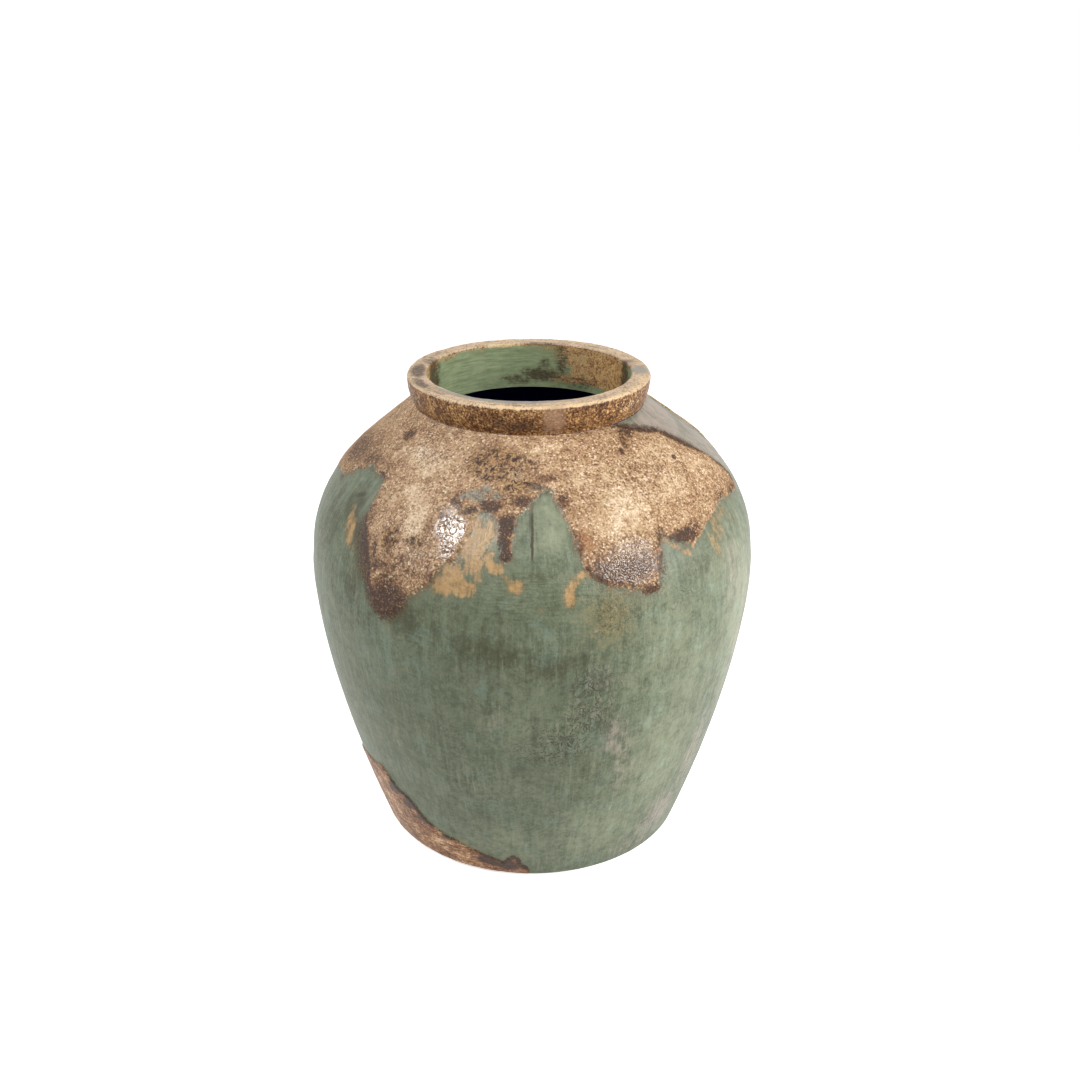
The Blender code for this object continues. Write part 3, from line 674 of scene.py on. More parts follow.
def wall_relief(points, place, fields):
    """How far the surface stands out of the plain outline, for every point."""
    drawn_out = place / MM * np.array([1.0, 1.0, BRUSH_DRAWN_OUT])
    relief = HAND_WAVE * (lumps(points, HAND_WAVE_SIZE, 11) - WAVE_SINK)
    relief = relief + CLAY_LUMP * lumps(points, CLAY_LUMP_SIZE, 12)
    relief = relief + BRUSH_RIDGE * lumps(drawn_out, BRUSH_RIDGE_SIZE, 13)
    wrinkles = layered_lumps(points, WRINKLE_SIZE, 14) - WRINKLE_SINK
    relief = relief + WRINKLE_DEPTH * fields["wrinkle"] * wrinkles
    ragged = fields["buff"] + CHIP_RAGGED * lumps(points, CHIP_RAGGED_SIZE, 15)
    bare = eased(ragged, *CHIP_FADE) * (fields["crust"] < 0)
    return relief - CHIP_DEPTH * bare - CLAY_DEPTH


def grid_normals(points):
    """Outward normals of a grid whose rows go up and whose columns go round."""
    across = np.roll(points, -1, 1) - np.roll(points, 1, 1)
    up = np.gradient(points, axis=0)
    normals = np.cross(across, up)
    return normals / np.maximum(np.linalg.norm(normals, axis=2, keepdims=True), 1e-9)


def leaned(points):
    """Points moved as the mouth leans: to the left, and down at the back."""
    height = points[..., 2]
    drop = BACK_DROP * (1 + points[..., 1] / LIP_RADIUS) * eased(height, NECK_HEIGHT, LEAN_END)
    moved = points.copy()
    moved[..., 0] -= LEAN_LEFT * eased(height, LEAN_START, LEAN_END)
    moved[..., 2] -= drop
    return moved


def wall_grid(heights, columns):
    """Points, normals, fields and outward directions of the wall, with rows at the given heights."""
    height = np.broadcast_to(np.asarray(heights)[:, None], (len(heights), columns))
    bearing = np.broadcast_to(bearings(columns), height.shape)
    plain = around(bearing, wall_radius(height), height)
    slope = wall_slope(height)
    tilt = np.hypot(1.0, slope)
    outward = around(bearing, 1 / tilt, -slope / tilt)
    fields = wall_fields(bearing, height)
    relief = wall_relief(plain, fields["place"], fields)
    points = leaned(plain + outward * relief[..., None])
    return points, grid_normals(points), fields, outward


def mesh_piece(name, points, faces, normals, fields, finishes, finish_index, nodes):
    """Make one piece of the jar that rides on it and stands for its CAD nodes."""
    mesh = bpy.data.meshes.new(name)
    mesh.from_pydata((points * MM).tolist(), [], faces)
    mesh.polygons.foreach_set("use_smooth", np.ones(len(faces), bool))
    mesh.polygons.foreach_set("material_index", np.asarray(finish_index, np.int32))
    for finish in finishes:
        mesh.materials.append(finish)
    for field, values in fields.items():
        if values.ndim == 2:
            layer = mesh.attributes.new(field, "FLOAT_VECTOR", "POINT")
            layer.data.foreach_set("vector", values.astype(np.float32).ravel())
        else:
            layer = mesh.attributes.new(field, "FLOAT", "POINT")
            layer.data.foreach_set("value", values.astype(np.float32))
    mesh.normals_split_custom_set(normals)
    piece = bpy.data.objects.new(name, mesh)
    bpy.context.scene.collection.objects.link(piece)
    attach(piece, "root")
    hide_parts(*nodes)


def section_grid(outline, step, relief_of=None):
    """Points of a turned surface through an outline of (radius, height) corners."""
    outline = np.array(outline, float)
    along = np.concatenate([[0.0], np.cumsum(np.hypot(*np.diff(outline, axis=0).T))])
    count = max(int(round(along[-1] / step)), 1)
    places = np.linspace(0.0, along[-1], count + 1)
    radius = np.interp(places, along, outline[:, 0])[:, None]
    height = np.interp(places, along, outline[:, 1])[:, None]
    points = around(bearings(COLUMNS), radius, height)
    if relief_of is not None:
        points = points + grid_normals(points) * relief_of(points)[..., None]
    return points, np.broadcast_to(places[:, None], points.shape[:2])


def closed_piece(name, spans, finishes, nodes, capped=False):
    """Make a turned piece from spans that follow on from each other round its section.

    A span is (points, normals or None, fields, finish index). A capped piece starts and ends
    on the jar's axis; any other closes on itself.
    """
    rows, row_fields, normals, indexes = [], [], [], []
    shared = {}
    for points, span_normals, fields, finish in spans:
        if span_normals is None:
            span_normals = grid_normals(points)
        for row in range(len(points) - 1):
            rows.append(points[row])
            row_fields.append({**shared, **{key: fields[key][row] for key in fields}})
            shared = {}
            low, high = span_normals[row], span_normals[row + 1]
            normals.append(np.stack([low, np.roll(low, -1, 0), np.roll(high, -1, 0), high], 1))
            indexes.append(finish)
        shared = {key: fields[key][-1] for key in fields}
    if capped:
        rows.append(spans[-1][0][-1])
        row_fields.append(shared)
    here = np.arange(COLUMNS)
    there = np.roll(here, -1)
    first = np.arange(len(indexes))[:, None] * COLUMNS
    second = np.roll(np.arange(len(rows)), -1)[: len(indexes), None] * COLUMNS
    quads = np.stack([first + here, first + there, second + there, second + here], -1)
    faces = quads.reshape(-1, 4).tolist()
    loops = np.concatenate(normals).reshape(-1, 3).tolist()
    indexes = np.repeat(indexes, COLUMNS).tolist()
    if capped:
        for row, finish, up in ((0, spans[0][3], -1.0), (len(rows) - 1, spans[-1][3], 1.0)):
            rim = (row * COLUMNS + here).tolist()
            faces.append(rim if up > 0 else rim[::-1])
            loops += [(0.0, 0.0, up)] * COLUMNS
            indexes.append(finish)
    fields = {}
    for key in sorted({key for found in row_fields for key in found}):
        blank = np.zeros_like(next(found[key] for found in row_fields if key in found))
        fields[key] = np.concatenate([found.get(key, blank) for found in row_fields])
    mesh_piece(name, np.concatenate(rows), faces, loops, fields, finishes, indexes, nodes)


def joint_span(start, end):
    """A plain strip that joins the last row of one surface to the first of the next."""
    return (np.stack([start, end]), None, {}, 1)


class Tint:
    """An output of a finish's nodes. Arithmetic on it adds Math nodes."""

    def __init__(self, tree, socket):
        self.tree = tree
        self.socket = socket

    def maths(self, operation, *values):
        node = self.tree.nodes.new("ShaderNodeMath")
        node.operation = operation
        for socket, value in zip(node.inputs, values):
            fill(self.tree, socket, value)
        return Tint(self.tree, node.outputs[0])

    def __add__(self, other):
        return self.maths("ADD", self, other)

    def __radd__(self, other):
        return self.maths("ADD", other, self)

    def __sub__(self, other):
        return self.maths("SUBTRACT", self, other)

    def __rsub__(self, other):
        return self.maths("SUBTRACT", other, self)

    def __mul__(self, other):
        return self.maths("MULTIPLY", self, other)

    def unsigned(self):
        return self.maths("ABSOLUTE", self)


def fill(tree, socket, value):
    """Set a socket to a value, or link an output to it."""
    if isinstance(value, Tint):
        tree.links.new(value.socket, socket)
    elif isinstance(value, tuple):
        socket.default_value = value[: len(socket.default_value)]
    else:
        socket.default_value = value


class Finish:
    """The material of one finish, the nodes that it is mixed from and the noises that vary it."""

    def __init__(self, name, holder=None):
        self.material = holder or bpy.data.materials.new(name)
        self.material.use_nodes = True
        self.tree = self.material.node_tree
        self.tree.nodes.clear()
        self.noises = {}

    def node(self, kind, settings, sockets, output=0):
        """Add a node: its settings first, then the values or links of its sockets."""
        node = self.tree.nodes.new(kind)
        for key, value in settings.items():
            setattr(node, key, value)
        for key, value in sockets.items():
            fill(self.tree, node.inputs[key], value)
        return Tint(self.tree, node.outputs[output]) if node.outputs else None

    def ramp(self, stops, value):
        """Read a colour off a ramp of (place, colour) stops."""
        node = self.tree.nodes.new("ShaderNodeValToRGB")
        elements = node.color_ramp.elements
        while len(elements) < len(stops):
            elements.new(0.5)
        for element, (place, colour) in zip(elements, stops):
            element.position = place
            element.color = colour
        fill(self.tree, node.inputs["Fac"], value)
        return Tint(self.tree, node.outputs[0])

    def field(self, name, output="Fac"):
        """Read a field that was painted on the mesh."""
        return self.node("ShaderNodeAttribute", {"attribute_name": name}, {}, output)

    def wall_place(self):
        """Place on the wall rolled out upright, with the length of its outline as the height."""
        return self.field("place", "Vector")

    def object_place(self):
        return self.node("ShaderNodeTexCoord", {}, {}, "Object")

    def noise(self, size, detail, twist=0.0, stretch=None, at=None):
        """Noise from about -1 to 1, with lumps of that size in millimetres."""
        at = at or self.object_place()
        if stretch:
            at = self.node("ShaderNodeVectorMath", {"operation": "MULTIPLY"}, {0: at, 1: stretch})
        sockets = {"Vector": at, "Scale": 1 / (size * MM), "Detail": detail}
        sockets.update({"Roughness": NOISE_ROUGHNESS, "Distortion": twist})
        return (self.node("ShaderNodeTexNoise", {}, sockets, "Fac") - 0.5) * NOISE_GAIN

    def cells(self, size, output):
        """Cells of that size in millimetres."""
        sockets = {"Scale": 1 / (size * MM), "Vector": self.object_place()}
        return self.node("ShaderNodeTexVoronoi", {}, sockets, output)

    def add_noises(self, noises, grain_size):
        """Keep the noises of a table by name, and a grain that has one value from -1 to 1 to a cell."""
        for name, (size, detail, twist) in noises.items():
            self.noises[name] = self.noise(size, detail, twist)
        red = self.node("ShaderNodeSeparateColor", {}, {0: self.cells(grain_size, "Color")}, 0)
        self.noises["grain"] = (red - 0.5) * 2

    def blend(self, **weights):
        """Sum of this finish's noises, each times its weight."""
        first, *others = [self.noises[name] * weight for name, weight in weights.items()]
        return sum(others, first)

    def patch(self, name, **weights):
        """A painted field, broken up by the finish's noises."""
        return self.field(name) + self.blend(**weights)

    def step(self, value, start, end):
        """From 0 where the value is at start to 1 at end."""
        sockets = {"Value": value, "From Min": start, "From Max": end}
        return self.node("ShaderNodeMapRange", {"interpolation_type": "SMOOTHSTEP"}, sockets)

    def mix(self, under, over, share):
        """Lay one colour over another, by a share from 0 to 1."""
        return self.node("ShaderNodeMix", {"data_type": "RGBA"}, {0: share, 6: under, 7: over}, 2)

    def lay(self, under, over, value, start, end, share=1.0):
        """Lay one colour over another from where a value is at start, up to that share at end."""
        return self.mix(under, over, self.step(value, start, end) * share)

    def shade(self, colour, factor):
        """Make a colour darker or lighter by a factor."""
        return self.node("ShaderNodeVectorMath", {"operation": "SCALE"}, {0: colour, 3: factor})

    def finished(self, colour, roughness, height, mirror=MIRROR):
        """Close the finish: colour, roughness, bump height in millimetres and how far it mirrors."""
        sockets = {"Strength": 1.0, "Distance": MM, "Height": height}
        bump = self.node("ShaderNodeBump", {}, sockets, "Normal")
        sockets = {"Base Color": colour, "Roughness": roughness, "Normal": bump}
        sockets["Specular IOR Level"] = mirror
        shader = self.node("ShaderNodeBsdfPrincipled", {}, sockets)
        self.node("ShaderNodeOutputMaterial", {}, {"Surface": shader})
        return self.material


def green_glaze(finish, n):
    """Colour and bump height of the sage glaze, brushed on upright and wrinkled in places, with painted
    shade in the wrinkles' creases, a painted highlight on their curls and a painted sheen on the right
    edge.
    """
    level = finish.field("level")
    brush = n["streak"] * (1 - level) + n["stroke"] * level
    hair = n["hair"] * (1 - level) + n["stroke"] * level
    mottle = finish.blend(blotch=0.38, patchy=0.38, small=0.30, fine=0.25)
    share = mottle + brush * 0.30 + hair * 0.11
    colour = finish.lay(GREEN_DEEP, GREEN_MID, share, -0.7, 0.7)
    teal = finish.noise(22, 4) + brush * 0.5 + n["small"] * 0.3
    colour = finish.lay(colour, TEAL, teal, 0.0, 0.9, 0.6)
    pale = finish.field("pale") + share * 0.5
    colour = finish.lay(colour, GREEN_LIGHT, pale, 0.1, 1.3)
    colour = finish.lay(colour, TEAL_LIGHT, teal + pale, 0.8, 1.6, 0.5)
    olive = finish.patch("olive", cloud=0.25) - mottle * 0.5 - brush * 0.3 - hair * 0.2
    colour = finish.lay(colour, OLIVE_WASH, olive, 0.10, 1.20, 0.72)
    # Pinkish grey blush of the glaze, and on the right edge a painted sheen.
    blush = finish.patch("blush", streak=0.35, patchy=0.35, blotch=0.2) + hair * 0.3
    colour = finish.lay(colour, GREY_BLUSH_AND_SHEEN, blush, 0.25, 1.25, 0.75)
    combed = hair + finish.blend(streak=0.4, cloud=0.5)
    colour = finish.lay(colour, STROKE_PALE, combed, 0.30, 0.9, 0.22)
    smear = finish.patch("smear", patchy=0.30, fine=0.25, blotch=0.12)
    colour = finish.lay(colour, SMEAR_DARK, smear, 0.25, 1.0, 0.8)
    wrinkle = finish.step(finish.patch("wrinkle", patchy=0.6, blotch=0.6), 0.2, 1.0)
    crinkle = n["crinkle"] + n["small"] * 0.05
    # The dented creases of the wrinkles are darkened, partly dark lines of the glaze and partly painted
    # shade. The raised curls are lightened as a painted highlight.
    shaded_crease = (1 - finish.step(crinkle.unsigned(), 0.03, 0.13)) * wrinkle
    colour = finish.mix(colour, OLIVE_WASH, shaded_crease * 0.75)
    colour = finish.mix(colour, STROKE_PALE, finish.step(n["curl"], 0.2, 0.6) * wrinkle * 0.25)
    ochre = finish.field("ochre")
    stain = ochre + brush * 0.4 + finish.blend(blotch=0.4, patchy=0.8, small=0.7, grain=0.3)
    colour = finish.lay(colour, OLIVE_GOLD, stain, 0.25, 1.25, 0.75)
    pits = finish.step(n["bead"] + n["small"] * 0.6 + ochre * 0.5, 0.60, 0.95) * ochre
    colour = finish.mix(colour, UMBER_MID, pits * 0.8)
    specks = finish.step(n["grain"] * 0.5 - n["bead"] + ochre * 0.5, 0.9, 1.2) * ochre
    colour = finish.mix(colour, BUFF_LIGHT, specks * 0.45)
    across = finish.node("ShaderNodeSeparateXYZ", {}, {0: finish.wall_place()}, "X") * (1 / MM)
    across = across + finish.blend(patchy=1.2, small=0.5)
    drip = (1 - finish.step(across.unsigned(), 0.6, 1.8)) * finish.field("drip")
    colour = finish.mix(colour, OLIVE_WASH, drip)
    height = brush * 0.12 + hair * 0.10 + finish.blend(fine=0.05, small=0.12, patchy=0.24)
    return colour, height + drip * 0.5 - shaded_crease * 0.7 + n["curl"] * wrinkle * 0.7


def sand_crust(finish, n):
    """Colour, bump height and polish of the sandy crust, with its burnt lumps and its glassy drop; painted
    sparkles, highlights on its folds and curls and shade in its hollows are laid into its colour.
    """
    fold = finish.field("fold")
    # The raised folds are painted lighter, partly the paler crust of their ridges and partly a painted
    # highlight on their tops.
    cream = finish.patch("cream", blotch=0.45, cloud=0.2, patchy=0.3) + fold * 0.5
    cream = finish.step(cream, 0.0, 1.1)
    near_edge = 1 - finish.step(finish.field("crust"), 0.0, 6.0)
    dark = finish.patch("umber", patchy=0.40, blotch=0.25) - fold * 0.3
    dark = finish.step(dark + near_edge * (n["patchy"] * 0.4 + 0.12), 0.12, 0.95)
    speckle = finish.blend(bead=0.20, fine=0.14, grain=0.16) * (1.05 - cream * 0.4)
    light = finish.blend(cloud=0.06, blotch=0.09, patchy=0.19, small=0.09) + speckle
    colour = finish.ramp(SAND_RAMP, light + cream * 0.25 - dark * 0.44 + 0.425)
    colour = finish.lay(colour, SAND_OLIVE, n["cast"] + n["small"] * 0.3, 0.10, 0.8, 0.40)
    colour = finish.lay(colour, SAND_PINK, n["small"] * 0.3 - n["cast"], 0.10, 0.8, 0.35)
    # Painted sparkle: white specks laid into the colour as painted glints of light on the grains.
    painted_sparkle = finish.step(n["grain"] + n["bead"] * 0.7, 0.75, 1.15) * (1 - dark * 0.85)
    colour = finish.mix(colour, SAND_RAMP[-1][1], painted_sparkle * 0.5)
    ochre = finish.patch("ochre", patchy=0.3, fine=0.2, bead=0.3, small=0.4)
    colour = finish.lay(colour, OCHRE, ochre, 0.4, 1.1, 0.6)
    gaps = dark * 0.8 - finish.blend(bead=0.4, grain=0.25, patchy=0.3, small=0.3)
    gaps = finish.step(gaps, 0.2, 1.0) * finish.step(dark, 0.05, 0.5)
    colour = finish.mix(colour, CRUST_DARK, gaps * 0.92)
    burnt = finish.step(finish.patch("burnt", patchy=0.40, blotch=0.20), 0.25, 0.75)
    coarse = finish.noise(3.4, 4, twist=0.8)
    # The hollows between the burnt lumps, where the bump sinks, are darkened red-brown to near black:
    # partly the crust's burnt colour, partly painted shade.
    shaded_hollow = coarse + n["fine"] * 0.3
    charred_and_shaded = finish.lay(colour, GOLD_LUMP, n["cast"] + n["grain"] * 0.5, -0.6, 0.6, 0.6)
    charred_and_shaded = finish.lay(charred_and_shaded, BURNT_RED, shaded_hollow, -0.16, 0.22, 0.85)
    charred_and_shaded = finish.lay(charred_and_shaded, CRUST_DARK, shaded_hollow, 0.04, 0.32)
    colour = finish.mix(colour, charred_and_shaded, burnt)
    gloss = finish.step(finish.patch("gloss", patchy=0.2), 0.30, 0.8)
    # The drop is pale on its raised curls and dark red-brown in the dips between them: painted highlight
    # and shade over the drop's own colour.
    drop = finish.lay(BURNT_RED, DROP_PALE_AND_HIGHLIGHT, n["curl"] + finish.blend(small=0.4, fine=0.3), -0.2, 0.3)
    colour = finish.mix(colour, drop, gloss * 0.7)
    glinting = finish.field("glint")
    beads = glinting - finish.blend(bead=0.7, grain=0.4)
    colour = finish.lay(colour, GLINT_BROWN, beads, 0.1, 0.9, 0.72)
    glint = finish.step(glinting + n["patchy"] * 0.3, 0.1, 0.9)
    domes = finish.cells(1.6, "Distance") * glint * 0.36
    plain = (1 - gloss * 0.95) * (1 - glint * 0.75)
    height = finish.blend(patchy=0.40, small=0.28, bead=0.10, blotch=0.5) * plain - domes
    height = height + n["curl"] * gloss * 0.42 - coarse * burnt * 1.6
    return colour, height, gloss.maths("MAXIMUM", gloss * 0.57, glint * 0.51)


def rust_crust(finish):
    """Colour and bump height of the rusty crust on the foot."""
    fibre = finish.noise(1.5, 4, stretch=(0.25, 0.25, 1.0), at=finish.wall_place())
    share = finish.blend(blotch=0.50, small=0.40, grain=0.16) + fibre * 0.85 + finish.field("cream") * 0.35
    colour = finish.ramp(RUST_RAMP, share + 0.52)
    near_edge = 1 - finish.step(finish.field("rust"), 0.0, 4.0)
    dark = finish.patch("umber", patchy=0.5, blotch=0.3) + near_edge * 0.5 + fibre * 0.4
    colour = finish.lay(colour, PURPLE_UMBER, dark, 0.35, 0.85, 0.9)
    return colour, finish.blend(patchy=0.18, small=0.14) + fibre * 0.30


def jar_glaze(name, mirror=MIRROR):
    """The finish of the jar's outside: sage glaze, bare buff patches, sandy crust and rusty crust."""
    finish = Finish(name)
    finish.add_noises(GLAZE_NOISES, GLAZE_GRAIN)
    n = finish.noises
    for stroke, (size, detail, stretch) in GLAZE_STROKES.items():
        n[stroke] = finish.noise(size, detail, stretch=stretch, at=finish.wall_place())
    colour, green_height = green_glaze(finish, n)
    sand, sand_height, polish = sand_crust(finish, n)
    rust, rust_height = rust_crust(finish)
    buff = finish.lay(BUFF_DARK, BUFF_LIGHT, finish.blend(patchy=0.8, small=0.6, streak=0.5), -0.7, 0.5)
    bare = finish.patch("buff", patchy=0.25, blotch=0.12, small=0.12, streak=0.35, hair=0.2)
    colour = finish.lay(colour, OLIVE_WASH, bare, 0.20, 0.50, 0.3)
    colour = finish.lay(colour, buff, bare, 0.25, 0.85, 0.92)
    crust = finish.patch("crust", blotch=1.6, patchy=3.0, small=2.6, grain=1.4)
    colour = finish.lay(colour, UMBER_MID, crust + n["blotch"] * 5.0, -5.0, 2.0, 0.45)
    flecks = n["bead"] + finish.blend(grain=0.5, small=0.4)
    flecked = finish.lay(CRUST_DARK, UMBER_FLECK, flecks, 0.0, 0.9)
    spill = finish.patch("umber", bead=0.5, small=0.4, grain=0.3) + crust * 0.06
    colour = finish.lay(colour, flecked, spill, 0.2, 0.85, 0.88)
    thin = finish.step(finish.patch("thin", patchy=0.4, small=0.2), 0.40, 0.75)
    scaly = finish.blend(patchy=0.6, small=0.7, fine=0.4)
    film = finish.lay(SMEAR_DARK, SCALE_GREY, scaly, -0.22, 0.26)
    colour = finish.mix(colour, film, thin * 0.9)
    crust_share = finish.step(crust, -1.2, 1.2) * (1 - thin * 0.85)
    colour = finish.mix(colour, sand, crust_share)
    rust_share = finish.step(finish.patch("rust", patchy=2.0, fine=1.2), -0.6, 0.6)
    colour = finish.mix(colour, rust, rust_share)
    height = green_height * (1 - crust_share) + sand_height * crust_share + rust_height * rust_share
    roughness = crust_share * (CRUST_DULLNESS - polish) + n["fine"] * 0.04 + GLAZE_ROUGHNESS
    return finish.finished(colour, roughness, height, mirror)


def lip_glaze(name):
    """The finish of the collar: grainy brown band, worn tan lip and the glazed inside of the mouth."""
    finish = Finish(name)
    finish.add_noises(LIP_NOISES, LIP_GRAIN)
    n = finish.noises
    brushed = finish.noise(1.6, 4, stretch=(0.10, 0.10, 1.0))
    share = finish.blend(blotch=0.38, patchy=0.40, fine=0.30, grain=0.22, bead=0.34) + 0.54
    colour = finish.lay(BAND_DARK, BAND_BROWN, share, 0.05, 0.60)
    colour = finish.lay(colour, BAND_GOLD, share, 0.50, 1.05)
    inside = finish.field("inside")
    colour = finish.mix(colour, finish.lay(BAND_BROWN, INNER_GOLD, share, 0.0, 0.8), inside)
    tan = finish.lay(LIP_TAN_SHADE, LIP_TAN, share + brushed * 0.3, -0.05, 0.75)
    colour = finish.lay(colour, tan, finish.patch("lip_top", patchy=0.2, fine=0.15), 0.4, 0.75)
    green = finish.lay(INNER_GREEN_SHADE, INNER_GREEN, brushed + n["blotch"] * 0.4, -0.8, 0.7)
    glazed = finish.step(finish.patch("green", patchy=0.25, blotch=0.45) + brushed * 0.2, 0.38, 0.75)
    colour = finish.mix(colour, green, glazed)
    # Umber patches of the collar, with painted shade at the foot of the band.
    umber = finish.patch("umber", blotch=0.3, patchy=0.4, fine=0.2, bead=-0.15) + brushed * inside * 0.5
    dark = finish.lay(UMBER_DARK, UMBER_MID, n["grain"] + n["fine"], -0.6, 1.2)
    colour = finish.lay(colour, dark, umber, 0.35, 0.95, 0.85)
    # Cream patches, with a painted highlight along the front of the lip's rounded outer edge.
    cream = finish.patch("cream", blotch=0.2, patchy=0.40, fine=0.30, grain=0.2)
    colour = finish.lay(colour, LIP_CREAM_AND_HIGHLIGHT, cream, 0.35, 0.95, 0.85)
    grey = finish.patch("grey", patchy=0.30, fine=0.30)
    colour = finish.lay(colour, LIP_BLUE_GREY, grey, 0.35, 0.85, 0.8)
    smooth = finish.step(finish.patch("smooth", patchy=0.40) + brushed * 0.25, 0.25, 0.9)
    pink = finish.lay(SMOOTH_PINK, BAND_BROWN, brushed, 0.0, 0.8, 0.8)
    colour = finish.mix(colour, pink, smooth * 0.75)
    plain = (1 - smooth * 0.8) * (1 - glazed * 0.8)
    height = finish.blend(patchy=0.30, fine=0.34, grain=0.12) * plain + brushed * 0.06
    return finish.finished(colour, n["fine"] * 0.05 + LIP_ROUGHNESS, height)


def hollow_painted_shade(name):
    """The finish of the inside, painted nearly black with a blue tint as the shade deep in the jar, with
    the rings of the turning.
    """
    finish = Finish(name)
    mottle = finish.noise(14, 4)
    rings = finish.noise(5, 3, stretch=(0.06, 0.06, 1.0))
    colour = finish.shade(HOLLOW_SHADE_BLACK, mottle * 0.5 + rings * 0.3 + 1.0)
    return finish.finished(colour, HOLLOW_ROUGHNESS, rings * 0.12 + mottle * 0.1)


def bare_clay(name):
    """The finish of the unglazed underside, with the drag marks of the wire that cut it off."""
    finish = Finish(name)
    mottle = finish.noise(18, 5)
    drag = finish.noise(1.6, 4, stretch=(1.0, 0.08, 1.0))
    fine = finish.noise(0.9, 4)
    colour = finish.lay(CLAY_BARE, CLAY_SHADE, mottle * 0.5 + drag * 0.3 + fine * 0.3, -0.4, 1.0)
    return finish.finished(colour, CLAY_ROUGHNESS, drag * 0.12 + fine * 0.08)


def inside_span(high, low, rows):
    """The inside of the wall, from one height down to another."""
    height = np.linspace(high, low, rows)[:, None]
    radius = np.maximum(inner_radius(height), SPIGOT_RADIUS + JOINT_GAP)
    return (leaned(around(bearings(COLUMNS), radius, height)), None, {}, 1)


def make_walls(finishes):
    """The lower wall and the shoulder, cut with the slab's rim from one surface so that no joint shows."""
    rim = rows_up(FOOT_BEVEL, REBATE_HEIGHT, ROW_STEP)
    lower = rows_up(REBATE_HEIGHT, SEAM_HEIGHT, ROW_STEP)
    upper = rows_up(SEAM_HEIGHT, NECK_HEIGHT, ROW_STEP)
    heights = np.concatenate([rim, lower[1:], upper[1:]])
    points, normals, fields, _ = wall_grid(heights, COLUMNS)
    first, second = len(rim) - 1, len(rim) + len(lower) - 2
    parts = []
    for start, end in ((0, first), (first, second), (second, len(heights) - 1)):
        cut = slice(start, end + 1)
        parts.append((points[cut], normals[cut], {key: fields[key][cut] for key in fields}, 0))
    lower_inside = inside_span(SEAM_HEIGHT, REBATE_HEIGHT, int(SEAM_HEIGHT / LOWER_INNER_STEP))
    upper_inside = inside_span(NECK_HEIGHT, SEAM_HEIGHT, int(SHOULDER_RISE / UPPER_INNER_STEP))
    for node, slot, outer, inner in (
        ("lower_wall", "sage_glaze", parts[1], lower_inside),
        ("shoulder_wall", "shoulder_glaze", parts[2], upper_inside),
    ):
        top = joint_span(outer[0][-1], inner[0][0])
        bottom = joint_span(inner[0][-1], outer[0][0])
        used = [finishes[slot], finishes["hollow_painted_shade"]]
        closed_piece(f"{node}_glazed", [outer, top, inner, bottom], used, [node])
    return parts[0]


def make_slab(rim, finishes):
    """The slab: bare clay below, the glaze's lower edge round its rim and a floor inside painted dark as
    shade.
    """
    disc_radius = float(inner_radius(np.array(REBATE_HEIGHT))) - JOINT_GAP
    points, _, fields, _ = rim
    under = section_grid([(HUB_RADIUS, 0.0), (FOOT_RADIUS - FOOT_BEVEL, 0.0)], PLAIN_ROW_STEP)[0]
    seat = section_grid([(disc_radius, REBATE_HEIGHT), (disc_radius, SLAB_TOP)], SEAT_ROW_STEP)[0]
    floor = section_grid([(disc_radius, SLAB_TOP), (HUB_RADIUS, SLAB_TOP)], PLAIN_ROW_STEP)[0]
    bevel = np.stack([under[-1], points[0]])
    spans = [
        (under, None, {}, 1),
        (bevel, None, {key: np.stack([fields[key][0]] * 2) for key in fields}, 0),
        rim,
        joint_span(points[-1], seat[0]),
        (seat, None, {}, 2),
        (floor, None, {}, 2),
    ]
    used = [finishes["bare_rim"], finishes["bare_clay"], finishes["hollow_painted_shade"]]
    closed_piece("base_slab_clay", spans, used, ["base_slab"], capped=True)


def lip_relief(points):
    """Lumps of the hand-made collar."""
    slow = layered_lumps(points, LIP_WAVE_SIZE, 31) * LIP_WAVE
    return slow + layered_lumps(points, LIP_LUMP_SIZE, 32) * LIP_LUMP - LIP_DEPTH


def quarter_turn(centre, radius, start, count):
    """Corners along a quarter of a circle, from a start angle in degrees."""
    turns = np.radians(np.linspace(start, start + 90.0, count))
    return [(centre[0] + radius * math.cos(turn), centre[1] + radius * math.sin(turn)) for turn in turns]


